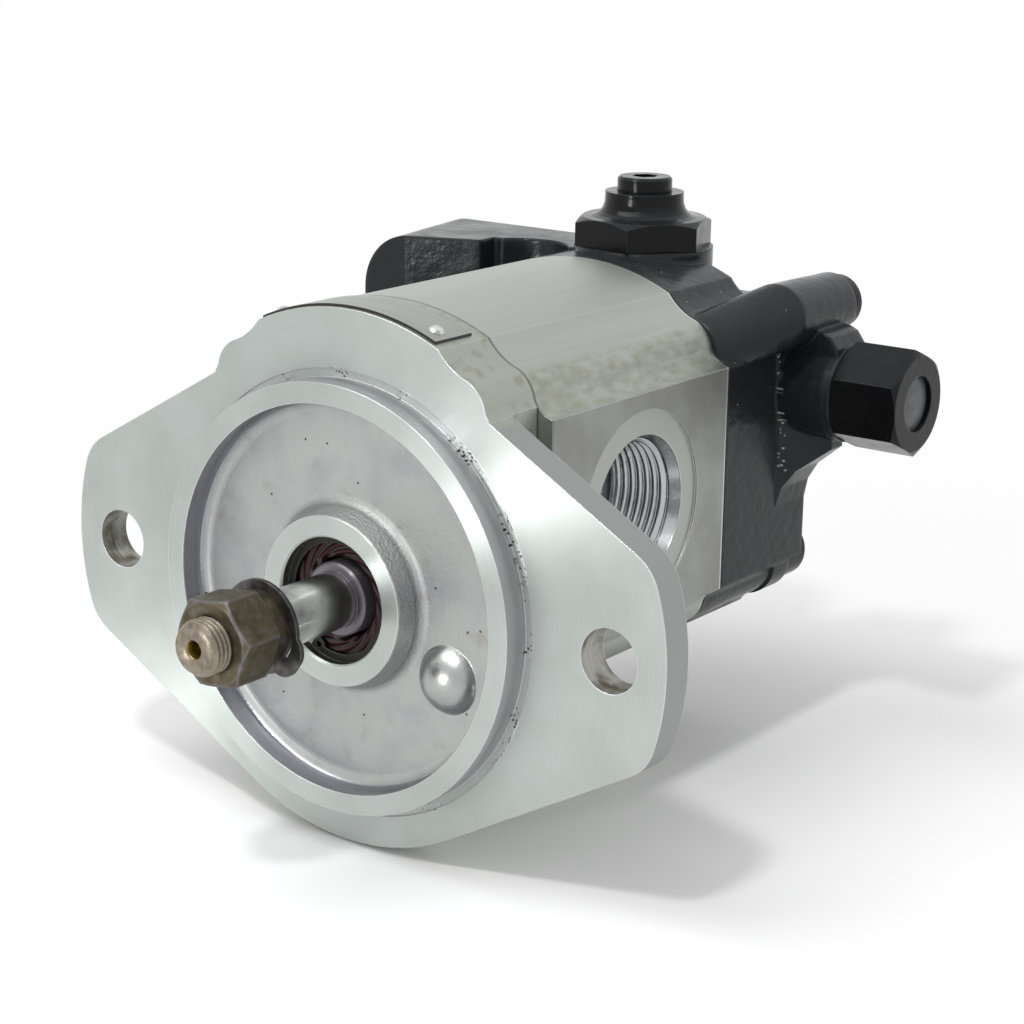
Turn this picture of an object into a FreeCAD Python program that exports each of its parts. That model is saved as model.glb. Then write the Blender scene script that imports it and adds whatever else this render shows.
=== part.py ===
import FreeCAD, Part
import math
import os

# Hydraulic gear charge pump. Lengths in millimetres, angles in degrees.
# The origin is on the shaft axis in the plane of the flange's mounting face.
# +Y runs along the pump towards the rear cover, +Z is up, +X is the inlet side.

# Gear set
module = 2.75
teeth = 12
pressure_angle = 25.0
addendum_factor = 1.0
dedendum_factor = 1.2
backlash = 0.12
flank_points = 5
gear_width = 35.0
centre_distance = module * teeth
pitch_radius = centre_distance / 2
tip_radius = pitch_radius + addendum_factor * module
root_radius = pitch_radius - dedendum_factor * module
gear_end_clearance = 0.05
tip_clearance = 0.05

# Stations along the pump axis
flange_thickness = 8.4
joint_y = 18.0
block_length = 19.0
gear_front_y = joint_y + block_length
gear_rear_y = gear_front_y + gear_width
rear_y = gear_rear_y + block_length
shoulder_y = rear_y + 29.0
slab_rear_y = rear_y + 40.0
bolt_pad_height = 1.4
seat_y = slab_rear_y + bolt_pad_height

# Mounting flange with two bolts, pilot and recess
bolt_spacing = 146.05
ear_tip_reach = 14.575
ear_half_width = bolt_spacing / 2 + ear_tip_reach
mount_hole_radius = 7.3
pilot_radius = 50.8
pilot_height = 6.5
recess_radius = 45.9
recess_floor_y = 0.5
recess_corner = 3.0
root_groove_width = 2.1
root_groove_depth = 0.4
ear_crown_radius = 60.0
ear_corner_radius = 12.0
flange_side_angle = 60.6
flange_side_offset = 60.5

# Shaft boss, seal bore and retaining ring in the front cover
boss_radius = 20.0
boss_face_y = -6.0
boss_root_radius = 21.5
boss_fillet = 2.2
seal_bore_radius = 15.0
seal_front_y = -1.9
seal_width = 7.0
seal_lip_gap = 0.05
seal_rim_wall = 1.6
seal_lip_points = [(2.1, 2.2), (1.5, 6.3), (0.4, 6.3), (0.0, 5.5), (0.3, 4.3), (0.8, 0.7), (1.6, 0.0)]
garter_offset = 2.45
garter_wire_radius = 0.65
garter_y = 5.1
ring_groove_radius = 15.9
ring_front_y = -3.3
ring_thickness = 1.2
ring_groove_width = 1.4
ring_inner_radius = 13.2
ring_gap_angle = 44.0
ring_gap_turn = 55.0
ring_lug_radius = 1.7
ring_lug_offset = 0.3
ring_lug_hole_radius = 0.8
bore_chamfer = 0.5
drain_radius = 11.5
drain_depth = 3.0
journal_pass_radius = 9.3

# Outline shared by the front cover's neck, the gear housing and the rear cover
mid_z = centre_distance / 2
crown_radius = 62.5
crown_half_height = 50.3
crown_edge_x = 26.3
bolt_x = 31.0
bolt_dz = 30.9
lobe_radius = 8.4
lobe_start_angle = 75.0
lobe_end_angle = 10.0
pad_half_width = 44.3
pad_half_height = 28.2
crown_sag = 0.6
corner_sag = 0.8
neck_half_width = 40.2
crown_centre_z = mid_z + crown_half_height - crown_radius

# Bolts and dowels that hold the three castings together
bolt_radius = 5.0
bolt_clearance = 0.2
bolt_tip_y = 3.5
bolt_head_radius = 8.0
bolt_head_height = 10.0
bolt_socket_flats = 8.0
bolt_socket_depth = 5.0
head_relief = 0.8
bolt_pad_radius = 9.0
bolt_pad_root = 8.0
dome_radius = 8.1
dome_x = 29.3
dome_z = -14.2
dome_height = 5.0
dowel_radius = 2.5
dowel_length = 11.0
dowel_dz = 45.3
dowel_play = 0.25

# Shaft
thread_radius = 6.35
thread_tip_y = -50.3
thread_chamfer = 1.1
shaft_radius = 6.75
washer_seat_y = -28.4
journal_radius = 8.75
journal_front_y = -4.2
journal_chamfer = 0.5
shaft_end_y = rear_y - 2.0
centre_hole_radius = 1.9
centre_hole_depth = 4.5
bush_clearance = 0.03
bush_radius = 10.5
bush_length = 17.5

# Nut, tab washer and key on the shaft end
washer_thickness = 1.0
washer_radius = 10.8
washer_tab_angle = -35.0
washer_tab_reach = 13.0
washer_tab_half_width = 5.6
washer_tab_corner = 4.4
edge_tolerance = 0.01
washer_slot_inner = 8.9
washer_slot_outer = 9.6
washer_slot_start = -6.0
washer_slot_sweep = 34.0
nut_collar_radius = 8.6
nut_collar_height = 4.6
nut_height = 11.0
nut_flats = 19.0
nut_turn = -8.0
nut_chamfer_angle = 30.0
key_angle = 205.0
key_width = 3.0
key_disc_radius = 5.0
key_centre_y = -16.0
key_centre_radius = 7.4
key_top_radius = 8.2

# Seals between the castings and behind the bearing blocks
body_seal_outer = 24.0
body_seal_inner = 21.6
body_seal_depth = 1.9
seal_play = 0.05
pressure_seal_outer = 16.9
pressure_seal_inner = 14.7
pressure_seal_depth = 2.0
pressure_seal_edge_x = 1.0
relief_slot_near = 2.5
relief_slot_far = 9.0
relief_slot_height = 4.4
relief_slot_depth = 2.0

# Ports and galleries of the gear housing
inlet_radius = 16.67
inlet_depth = 20.0
inlet_spot_radius = 24.0
inlet_spot_depth = 0.6
inlet_seat_radius = 18.0
inlet_seat_depth = 2.7
inlet_pass_radius = 12.5
mesh_y = gear_front_y + gear_width / 2
gallery_x = -28.5
gallery_radius = 5.5
cross_gallery_radius = 6.5
cross_gallery_start_x = -8.0
gallery_rise_radius = 4.2
gallery_rise_y = rear_y + 33.0
gallery_ring_outer = 8.4
gallery_ring_depth = 1.8

# Nameplate and its two rivets on the crown of the front cover
plate_front_y = 1.2
plate_rear_y = 14.0
plate_left_x = -26.0
plate_right_x = 24.6
plate_thickness = 0.6
rivet_left_x = -24.0
rivet_right_x = 21.0
rivet_y = 6.0
rivet_radius = 1.15
rivet_head_radius = 1.9
rivet_head_height = 1.0
rivet_depth = 5.0

# Rear cover: left port block with its scallop
block_top_z = 66.0
block_bottom_z = 27.0
block_front_left_x = -72.2
block_rear_left_x = -76.2
block_front_corner = 15.0
block_rear_corner = 11.5
block_rear_y = rear_y + 36.0
block_front_y = rear_y + 1.0
block_front_x = -58.5
block_waist_x = -39.0
block_waist_y = rear_y + 8.7
block_inner_y = rear_y + 15.0
scallop_x = -25.5
scallop_y = rear_y + 8.0
scallop_radius = 12.8
outlet_x = -56.0
outlet_radius = 11.11
outlet_depth = 17.0
outlet_spot_radius = 15.5
outlet_spot_depth = 0.5
outlet_pass_radius = 3.8
outlet_pass_y = block_rear_y - outlet_depth - 3.0
outlet_pass_z = 38.0
outlet_z = (block_top_z + block_bottom_z) / 2

# Rear cover: cut behind the crown, top boss for the relief valve
crown_cut_half_width = 22.4
crown_cut_z = 45.0
relief_y = rear_y + 27.6
relief_boss_radius = 18.2
relief_boss_top_z = 67.0
relief_boss_base_z = 40.0
relief_thread_radius = 12.0
relief_floor_z = 48.3
relief_seat_radius = 9.0
relief_seat_z = 43.5
relief_pass_radius = 4.0
relief_ring_counterbore = 13.7
relief_ring_depth = 2.1

# Rear cover: spool bore along X with the right boss, web and gusset
spool_y = rear_y + 35.5
spool_z = 34.3
spool_bore_radius = 5.0
spool_stop_x = -12.3
spool_stop_radius = 4.5
spool_ridge_radius = 12.4
spool_ridge_left_x = -36.0
spool_ridge_right_x = 59.5
cap_thread_radius = 10.2
cap_thread_x = 42.0
cap_ring_counterbore = 11.9
cap_ring_depth = 2.0
gusset_points = [(-0.3, 2.5), (1.0, 9.0), (3.7, 13.5), (10.5, 19.2), (10.5, 30.0)]
gusset_front_y = rear_y + 25.0
gusset_outer_y = rear_y + 35.0
web_points = [(36.0, 54.0), (54.5, 50.2), (56.5, 49.3), (58.6, 46.4), (58.6, 35.0), (36.0, 35.0)]
web_front_y = rear_y + 28.0
web_rear_y = rear_y + 42.0
rib_width = 1.2
rib_height = 0.7
rib_top_y = rear_y + 22.4
rib_bottom_y = rear_y + 25.6
rib_top_z = 48.0
rib_bottom_z = 12.0

# Rear cover: long boss that points rearwards, with its plug
plug_x = 45.0
plug_z = 54.1
plug_boss_radius = 8.6
plug_boss_end_radius = 8.0
plug_boss_chamfer = 0.8
plug_boss_front_y = rear_y + 20.0
plug_boss_end_y = rear_y + 48.0
plug_root_x = 32.6
plug_root_z = 47.0
plug_root_radius = 8.2
plug_thread_radius = 4.5
plug_bore_front_y = rear_y + 29.0
plug_thread_length = 11.0
plug_neck_radius = 5.4
plug_neck_length = 1.2
plug_head_radius = 7.0
plug_head_length = 3.0
plug_chamfer = 0.55
plug_socket_flats = 5.0
plug_socket_depth = 2.4
plug_sense_radius = 2.0
plug_sense_x = 34.0

# Relief valve parts in the top boss, from the seat up
relief_hex_flats = 32.0
relief_hex_turn = -9.3
relief_hex_height = 7.3
relief_collar_radius = 10.2
relief_collar_top_z = 80.8
relief_collar_height = 1.3
relief_neck_foot_radius = 15.4
relief_neck_sag = 1.9
relief_neck_points = 6
relief_bore_radius = 7.15
relief_undercut_radius = 11.6
relief_outlet_radius = 1.6
relief_outlet_z = 53.0
seat_hole_radius = 3.2
seat_cone_radius = 4.6
seat_cone_depth = 1.4
poppet_radius = 4.4
poppet_guide_radius = 6.95
poppet_nose_depth = 1.6
poppet_height = 2.4
poppet_guide_height = 2.0
poppet_spigot_radius = 3.2
poppet_spigot_height = 2.5
poppet_gap = 0.1
poppet_inset = 0.2
adjuster_radius = 7.1
adjuster_bottom_z = 63.5
adjuster_top_z = 84.7
adjuster_chamfer = 0.6
adjuster_socket_flats = 6.0
adjuster_socket_depth = 5.0
spring_wire_radius = 0.75
spring_turns = 4.5
relief_spring_radius = 5.2
spool_spring_radius = 3.7

# Spool, its hexagon cap and the disc in the cap's end
spool_clearance = 0.03
spool_right_x = 20.0
spool_neck_radius = 3.3
spool_land_width = 8.0
spool_spigot_radius = 2.4
spool_spigot_length = 3.0
spool_stop_gap = 0.1
cap_flats = 24.0
cap_turn = 4.5
cap_end_x = 77.8
cap_inner_x = 45.0
cap_chamfer_angle = 30.0
cap_recess_radius = 7.1
cap_recess_depth = 3.0
cap_disc_thickness = 1.6
cap_disc_crown = 0.8
disc_crown_points = 5
cap_undercut_radius = 9.9
ring_wire_radius = 0.95


def point(x, y, z):
    return FreeCAD.Vector(x, y, z)


AXIS_X = point(1, 0, 0)
AXIS_Y = point(0, 1, 0)
AXIS_Z = point(0, 0, 1)
ORIGIN = point(0, 0, 0)


def rod_between(radius, start, end):
    """Cylinder of the given radius from the point start to the point end."""
    run = end - start
    return Part.makeCylinder(radius, run.Length, start, run)


def rod_y(radius, x, z, y0, y1):
    return rod_between(radius, point(x, y0, z), point(x, y1, z))


def rod_z(radius, x, y, z0, z1):
    return rod_between(radius, point(x, y, z0), point(x, y, z1))


def rod_x(radius, y, z, x0, x1):
    return rod_between(radius, point(x0, y, z), point(x1, y, z))


def block(x0, x1, y0, y1, z0, z1):
    return Part.makeBox(x1 - x0, y1 - y0, z1 - z0, point(x0, y0, z0))


def fused(first, others):
    return first.fuse(others).removeSplitter()


def turned(profile, base, axis, radial):
    """Solid of revolution. The profile lists (radius, distance along the axis) pairs."""
    places = [base + radial * r + axis * a for r, a in profile]
    wire = Part.makePolygon(places + places[:1])
    return Part.Face(wire).revolve(base, axis, 360)


def turned_y(profile, x=0.0, z=0.0):
    return turned(profile, point(x, 0, z), AXIS_Y, AXIS_X)


def turned_z(profile, x, y):
    return turned(profile, point(x, y, 0), AXIS_Z, AXIS_X)


def turned_x(profile, y, z):
    return turned(profile, point(0, y, z), AXIS_X, AXIS_Z)


def arc_points(centre_r, centre_a, radius, start, end, steps=6):
    """Points of a round stretch in a turned profile, as (radius, distance) pairs."""
    angles = [start + (end - start) * i / steps for i in range(steps + 1)]
    return [(centre_r + radius * math.cos(math.radians(t)), centre_a + radius * math.sin(math.radians(t)))
            for t in angles]


def hexagon(flats, turn, base, axis, radial, length):
    """Hexagonal prism whose first corner lies turn degrees round the axis from the radial direction."""
    side = axis.cross(radial)
    corner = flats / math.sqrt(3)
    places = []
    for k in range(6):
        angle = math.radians(turn + 60 * k)
        places.append(base + radial * (corner * math.cos(angle)) + side * (corner * math.sin(angle)))
    wire = Part.makePolygon(places + places[:1])
    return Part.Face(wire).extrude(axis * length)


def o_ring(radius, wire_radius, centre, axis):
    return Part.makeTorus(radius, wire_radius, centre, axis)


def coil(mean_radius, wire_radius, turns, centre, axis, length):
    """Open helical spring whose wire touches both end planes."""
    height = length - 2 * wire_radius
    helix = Part.makeHelix(height / turns, height, mean_radius)
    start = Part.Circle(point(mean_radius, 0, 0), AXIS_Y, wire_radius).toShape()
    wire = Part.Wire(helix).makePipeShell([Part.Wire(start)], True, True)
    wire.Placement = FreeCAD.Placement(centre + axis * wire_radius, FreeCAD.Rotation(AXIS_Z, axis))
    return wire


def figure_eight(radius, y0, y1):
    """Two fused cylinders, one round each gear axis."""
    return fused(rod_y(radius, 0, 0, y0, y1), [rod_y(radius, 0, centre_distance, y0, y1)])


def bolt_places():
    return [(sx * bolt_x, mid_z + sz * bolt_dz) for sx in (-1, 1) for sz in (-1, 1)]


def dowel_places():
    return [(0.0, mid_z + s * dowel_dz) for s in (-1, 1)]


def sagged(start, end, sag):
    """Middle point of a shallow arc, moved by sag towards the outline's inside."""
    chord_x = end[0] - start[0]
    chord_z = end[1] - start[1]
    length = math.hypot(chord_x, chord_z)
    return ((start[0] + end[0]) / 2 + sag * chord_z / length,
            (start[1] + end[1]) / 2 - sag * chord_x / length)


def outline_quarter(sx, sz, y):
    """The crown's end, the bolt lobe and the pad corner in one quarter of the outline."""
    def place(p):
        return point(sx * p[0], y, mid_z + sz * p[1])
    crown = (crown_edge_x, crown_half_height - crown_radius + math.sqrt(crown_radius ** 2 - crown_edge_x ** 2))
    lobe = []
    for angle in (lobe_start_angle, (lobe_start_angle + lobe_end_angle) / 2, lobe_end_angle):
        turn = math.radians(angle)
        lobe.append((bolt_x + lobe_radius * math.cos(turn), bolt_dz + lobe_radius * math.sin(turn)))
    pad = (pad_half_width, pad_half_height)
    shoulder = [crown, sagged(crown, lobe[0], crown_sag), lobe[0]]
    corner = [lobe[2], sagged(lobe[2], pad, corner_sag), pad]
    return [Part.Arc(*[place(p) for p in run]).toShape() for run in (shoulder, lobe, corner)]


def body_outline(y):
    """Closed outline of the pump body in the plane at y."""
    edges = []
    crown_dz = crown_half_height - crown_radius + math.sqrt(crown_radius ** 2 - crown_edge_x ** 2)
    for s in (1, -1):
        left = point(-crown_edge_x, y, mid_z + s * crown_dz)
        top = point(0, y, mid_z + s * crown_half_height)
        right = point(crown_edge_x, y, mid_z + s * crown_dz)
        edges.append(Part.Arc(left, top, right).toShape())
        upper = point(s * pad_half_width, y, mid_z + pad_half_height)
        lower = point(s * pad_half_width, y, mid_z - pad_half_height)
        edges.append(Part.makeLine(upper, lower))
        for t in (1, -1):
            edges += outline_quarter(s, t, y)
    return Part.Wire(Part.__sortEdges__(edges))


def body_prism(y0, y1):
    return Part.Face(body_outline(y0)).extrude(point(0, y1 - y0, 0))


def prism_y(points, y0, y1):
    """Extrusion along Y of a polygon of (x, z) points."""
    places = [point(x, y0, z) for x, z in points]
    return Part.Face(Part.makePolygon(places + places[:1])).extrude(point(0, y1 - y0, 0))


def ear_plate():
    """Two-eared flange plate: straight sides that touch a round middle, crowned ear ends."""
    side = math.radians(flange_side_angle)
    normal = (math.cos(side), math.sin(side))
    centre_x = ear_half_width - ear_crown_radius
    reach = ear_crown_radius - ear_corner_radius
    lean = math.acos((flange_side_offset - ear_corner_radius - normal[0] * centre_x) / reach)
    blend = side - lean
    corner = (centre_x + reach * math.cos(blend), reach * math.sin(blend))

    def round_corner(angle):
        return (corner[0] + ear_corner_radius * math.cos(angle), corner[1] + ear_corner_radius * math.sin(angle))

    tangent = (flange_side_offset * normal[0], flange_side_offset * normal[1])
    corner_run = [round_corner(side), round_corner((side + blend) / 2), round_corner(blend)]
    edges = []
    for sx in (1, -1):
        for sz in (1, -1):
            places = [point(sx * x, 0, sz * z) for x, z in [tangent] + corner_run]
            edges.append(Part.makeLine(places[0], places[1]))
            edges.append(Part.Arc(places[1], places[2], places[3]).toShape())
        end = corner_run[2]
        edges.append(Part.Arc(point(sx * end[0], 0, end[1]), point(sx * ear_half_width, 0, 0),
                              point(sx * end[0], 0, -end[1])).toShape())
    for sz in (1, -1):
        edges.append(Part.Arc(point(-tangent[0], 0, sz * tangent[1]), point(0, 0, sz * flange_side_offset),
                              point(tangent[0], 0, sz * tangent[1])).toShape())
    wire = Part.Wire(Part.__sortEdges__(edges))
    return Part.Face(wire).extrude(point(0, flange_thickness, 0))


def recess_cut():
    """Ring-shaped hollow between the shaft boss and the pilot, rounded at both roots."""
    top = -pilot_height - 1
    foot = arc_points(boss_root_radius + boss_fillet, recess_floor_y - boss_fillet, boss_fillet, 180, 90)
    wall = arc_points(recess_radius - recess_corner, recess_floor_y - recess_corner, recess_corner, 90, 0)
    return turned_y([(boss_radius, top), (boss_radius, boss_face_y)] + foot + wall + [(recess_radius, top)])


def seal_bore_cut():
    """Stepped bore for the retaining ring, the shaft seal, the drain space and the journal."""
    seal_rear = seal_front_y + seal_width
    drain_rear = seal_rear + drain_depth
    ring_rear = ring_front_y + ring_groove_width
    return turned_y([
        (0, boss_face_y - 1), (boss_radius + bore_chamfer, boss_face_y - 1), (boss_radius + bore_chamfer, boss_face_y),
        (seal_bore_radius + bore_chamfer, boss_face_y), (seal_bore_radius, boss_face_y + bore_chamfer),
        (seal_bore_radius, ring_front_y), (ring_groove_radius, ring_front_y), (ring_groove_radius, ring_rear),
        (seal_bore_radius, ring_rear), (seal_bore_radius, seal_rear), (drain_radius, seal_rear),
        (drain_radius, drain_rear), (journal_pass_radius, drain_rear), (journal_pass_radius, joint_y + 1),
        (0, joint_y + 1)])


def bolt_hole_dome(x, z):
    """Low round bulge on the recess floor over a blind bolt hole."""
    radius = (dome_radius ** 2 + dome_height ** 2) / (2 * dome_height)
    return Part.makeSphere(radius, point(x, recess_floor_y - dome_height + radius, z))


def rivet_axis(x):
    """Foot point on the crown and outward direction of the nameplate rivet at x."""
    centre = point(0, rivet_y, crown_centre_z)
    rise = math.sqrt(crown_radius ** 2 - x ** 2)
    outward = point(x, 0, rise) / crown_radius
    return centre + outward * crown_radius, outward


def front_cover():
    neck = body_prism(0, joint_y).common(
        block(-neck_half_width, neck_half_width, 0, joint_y, -2 * pilot_radius, 2 * pilot_radius))
    cover = fused(ear_plate(), [neck, rod_y(pilot_radius, 0, 0, -pilot_height, 0)])
    cover = cover.cut(recess_cut())
    domes = [bolt_hole_dome(s * dome_x, dome_z) for s in (-1, 1)]
    cover = fused(cover, domes)
    groove = rod_y(pilot_radius + root_groove_width, 0, 0, 0, root_groove_depth)
    tools = [seal_bore_cut(), groove.cut(rod_y(pilot_radius, 0, 0, 0, root_groove_depth))]
    tools += [rod_y(mount_hole_radius, s * bolt_spacing / 2, 0, -1, flange_thickness + 1) for s in (-1, 1)]
    tools += [rod_y(bolt_radius, x, z, bolt_tip_y, joint_y + 1) for x, z in bolt_places()]
    tools += [rod_y(dowel_radius, x, z, joint_y - dowel_length / 2 - dowel_play, joint_y + 1)
              for x, z in dowel_places()]
    for x in (rivet_left_x, rivet_right_x):
        foot, outward = rivet_axis(x)
        tools.append(rod_between(rivet_radius, foot - outward * rivet_depth, foot + outward))
    return cover.cut(tools)


def gear_housing():
    housing = body_prism(joint_y, rear_y)
    spot_x = pad_half_width - inlet_spot_depth
    inlet = turned_x([
        (0, pad_half_width + 1), (inlet_spot_radius, pad_half_width + 1), (inlet_spot_radius, spot_x),
        (inlet_seat_radius, spot_x), (inlet_radius, spot_x - inlet_seat_depth),
        (inlet_radius, pad_half_width - inlet_depth), (inlet_pass_radius, pad_half_width - inlet_depth),
        (inlet_pass_radius, 0), (0, 0)], mesh_y, mid_z)
    tools = [figure_eight(tip_radius + tip_clearance, joint_y - 1, rear_y + 1), inlet,
             rod_x(cross_gallery_radius, mesh_y, mid_z, gallery_x, cross_gallery_start_x),
             rod_y(gallery_radius, gallery_x, mid_z, mesh_y, rear_y + 1)]
    seal_ring = figure_eight(body_seal_outer, joint_y - 1, joint_y + body_seal_depth)
    tools.append(seal_ring)
    tools.append(figure_eight(body_seal_outer, rear_y - body_seal_depth, rear_y + 1))
    rim_front = figure_eight(body_seal_inner, joint_y, joint_y + body_seal_depth)
    rim_rear = figure_eight(body_seal_inner, rear_y - body_seal_depth, rear_y)
    bore = figure_eight(tip_radius + tip_clearance, joint_y - 1, rear_y + 1)
    tools += [rod_y(bolt_radius + bolt_clearance, x, z, joint_y - 1, rear_y + 1) for x, z in bolt_places()]
    half = dowel_length / 2 + dowel_play
    for x, z in dowel_places():
        tools.append(rod_y(dowel_radius, x, z, joint_y - 1, joint_y + half))
        tools.append(rod_y(dowel_radius, x, z, rear_y - half, rear_y + 1))
    return fused(housing.cut(tools), [rim_front.cut(bore), rim_rear.cut(bore)])


def block_section(left, r, y):
    """Elevation of the left block at y: flat top and bottom, left corners of radius r."""
    turn = r * math.sqrt(0.5)
    top = block_top_z - r
    bottom = block_bottom_z + r
    corner = left + r
    return Part.Wire([
        Part.makeLine(point(0, y, block_top_z), point(corner, y, block_top_z)),
        Part.Arc(point(corner, y, block_top_z), point(corner - turn, y, top + turn), point(left, y, top)).toShape(),
        Part.makeLine(point(left, y, top), point(left, y, bottom)),
        Part.Arc(point(left, y, bottom), point(corner - turn, y, bottom - turn),
                 point(corner, y, block_bottom_z)).toShape(),
        Part.makeLine(point(corner, y, block_bottom_z), point(0, y, block_bottom_z)),
        Part.makeLine(point(0, y, block_bottom_z), point(0, y, block_top_z))])


def port_block():
    """Left block of the rear cover: it widens to the rear, with a slanted front and a scallop."""
    sections = [block_section(block_front_left_x, block_front_corner, block_front_y),
                block_section(block_rear_left_x, block_rear_corner, block_rear_y)]
    elevation = Part.makeLoft(sections, True, True)
    left = block_rear_left_x - 1
    plan_points = [
        (left, block_front_y), (block_front_x, block_front_y), (block_waist_x, block_waist_y),
        (block_waist_x, block_inner_y), (1, block_inner_y), (1, block_rear_y), (left, block_rear_y)]
    places = [point(px, py, block_bottom_z - 1) for px, py in plan_points]
    height = block_top_z - block_bottom_z + 2
    plan = Part.Face(Part.makePolygon(places + places[:1])).extrude(point(0, 0, height))
    scallop = rod_z(scallop_radius, scallop_x, scallop_y, block_bottom_z - 1, block_top_z + 1)
    return elevation.common(plan).cut(scallop)


def plug_boss():
    """Tapered boss that points rearwards; its front runs down into the cover's shoulder."""
    root = Part.Wire(Part.Circle(point(plug_root_x, rear_y, plug_root_z), AXIS_Y, plug_root_radius).toShape())
    front = Part.Wire(Part.Circle(point(plug_x, plug_boss_front_y, plug_z), AXIS_Y, plug_boss_radius).toShape())
    run = Part.makeLoft([root, front], True, True)
    end = plug_boss_end_y
    barrel = turned_y([
        (0, plug_boss_front_y), (plug_boss_radius, plug_boss_front_y),
        (plug_boss_end_radius, end - plug_boss_chamfer), (plug_boss_end_radius - plug_boss_chamfer, end),
        (0, end)], plug_x, plug_z)
    return run.fuse(barrel)


def gusset():
    """Curved bracket below the right boss, with a front that slants out of the cover's side."""
    body = prism_y([(pad_half_width + x, z) for x, z in gusset_points] + [(pad_half_width - 1, spool_z)],
                   gusset_front_y, slab_rear_y)
    reach = max(x for x, z in gusset_points) + 1
    plan = [(pad_half_width, gusset_front_y), (pad_half_width + reach, gusset_outer_y),
            (pad_half_width + reach, gusset_front_y - 1), (pad_half_width, gusset_front_y - 1)]
    places = [point(px, py, 0) for px, py in plan]
    wedge = Part.Face(Part.makePolygon(places + places[:1])).extrude(point(0, 0, 2 * spool_z))
    return body.cut(wedge)


def parting_bead():
    """Cast bead that leans across the cover's side in front of the right boss."""
    corners = [(rib_top_y, rib_top_z), (rib_top_y + rib_width, rib_top_z), (rib_bottom_y + rib_width, rib_bottom_z),
               (rib_bottom_y, rib_bottom_z)]
    places = [point(pad_half_width - 1, y, z) for y, z in corners]
    return Part.Face(Part.makePolygon(places + places[:1])).extrude(point(1 + rib_height, 0, 0))


def rear_cover_body():
    """Outer form of the rear cover before its bores are cut."""
    slab = body_prism(rear_y, slab_rear_y)
    reach = 2 * pilot_radius
    lobe_top_z = mid_z + bolt_dz + lobe_radius
    slab = slab.cut([
        block(-crown_cut_half_width, crown_cut_half_width, shoulder_y, seat_y + 1, crown_cut_z, reach),
        block(-reach, reach, shoulder_y, seat_y + 1, lobe_top_z, reach)])
    relief_boss = rod_z(relief_boss_radius, 0, relief_y, relief_boss_base_z, relief_boss_top_z)
    ridge = rod_x(spool_ridge_radius, spool_y, spool_z, spool_ridge_left_x, spool_ridge_right_x)
    web = prism_y(web_points, web_front_y, web_rear_y)
    pads = [rod_y(bolt_pad_radius, x, z, seat_y - bolt_pad_root, seat_y) for x, z in bolt_places()]
    return slab.fuse([relief_boss, ridge, gusset(), web, parting_bead(), port_block(), plug_boss()] + pads)


def rear_cover():
    cap_face_x = spool_ridge_right_x
    spool_cut = turned_x([
        (0, gallery_x), (spool_stop_radius, gallery_x), (spool_stop_radius, spool_stop_x),
        (spool_bore_radius, spool_stop_x), (spool_bore_radius, cap_thread_x), (cap_thread_radius, cap_thread_x),
        (cap_thread_radius, cap_face_x - cap_ring_depth), (cap_ring_counterbore, cap_face_x - cap_ring_depth),
        (cap_ring_counterbore, cap_face_x + 1), (0, cap_face_x + 1)], spool_y, spool_z)
    relief_cut = turned_z([
        (0, spool_z), (relief_pass_radius, spool_z), (relief_pass_radius, relief_seat_z),
        (relief_seat_radius, relief_seat_z), (relief_seat_radius, relief_floor_z),
        (relief_thread_radius, relief_floor_z), (relief_thread_radius, relief_boss_top_z - relief_ring_depth),
        (relief_ring_counterbore, relief_boss_top_z - relief_ring_depth),
        (relief_ring_counterbore, relief_boss_top_z + 1), (0, relief_boss_top_z + 1)], 0, relief_y)
    outlet_cut = turned_y([
        (0, block_rear_y + 1), (outlet_spot_radius, block_rear_y + 1),
        (outlet_spot_radius, block_rear_y - outlet_spot_depth), (outlet_radius, block_rear_y - outlet_spot_depth),
        (outlet_radius, block_rear_y - outlet_depth), (outlet_pass_radius, block_rear_y - outlet_depth),
        (outlet_pass_radius, outlet_pass_y), (0, outlet_pass_y)], outlet_x, outlet_z)
    tools = [spool_cut, relief_cut, outlet_cut,
             rod_y(gallery_radius, gallery_x, mid_z, rear_y - 1, spool_y),
             rod_z(gallery_rise_radius, gallery_x, gallery_rise_y, mid_z, outlet_pass_z),
             rod_y(outlet_pass_radius, gallery_x, outlet_pass_z, outlet_pass_y, spool_y),
             rod_x(outlet_pass_radius, outlet_pass_y, outlet_pass_z, outlet_x, gallery_x),
             rod_y(gallery_ring_outer, gallery_x, mid_z, rear_y - 1, rear_y + gallery_ring_depth),
             rod_y(plug_thread_radius, plug_x, plug_z, plug_bore_front_y, plug_boss_end_y + 1),
             rod_between(plug_sense_radius, point(plug_x, plug_bore_front_y + plug_thread_radius, plug_z),
                         point(plug_sense_x, spool_y, spool_z))]
    for x, z in bolt_places():
        tools.append(rod_y(bolt_radius + bolt_clearance, x, z, rear_y - 1, seat_y + 1))
        tools.append(rod_y(bolt_head_radius + head_relief, x, z, seat_y, seat_y + 2 * bolt_head_height))
    for x, z in dowel_places():
        tools.append(rod_y(dowel_radius, x, z, rear_y - 1, rear_y + dowel_length / 2 + dowel_play))
    return rear_cover_body().cut(tools)


def involute(angle):
    return math.tan(angle) - angle


def tooth_half_angle(radius):
    """Half of the tooth's angular thickness at a radius, in radians."""
    base_radius = pitch_radius * math.cos(math.radians(pressure_angle))
    at_radius = math.acos(min(1.0, base_radius / radius))
    at_pitch = math.pi / (2 * teeth) - backlash / (4 * pitch_radius)
    return at_pitch + involute(math.radians(pressure_angle)) - involute(at_radius)


def polar(radius, angle, y, z0):
    """Point in the plane at y, at an angle in radians from +X round the gear axis at z0."""
    return point(radius * math.cos(angle), y, z0 + radius * math.sin(angle))


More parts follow.
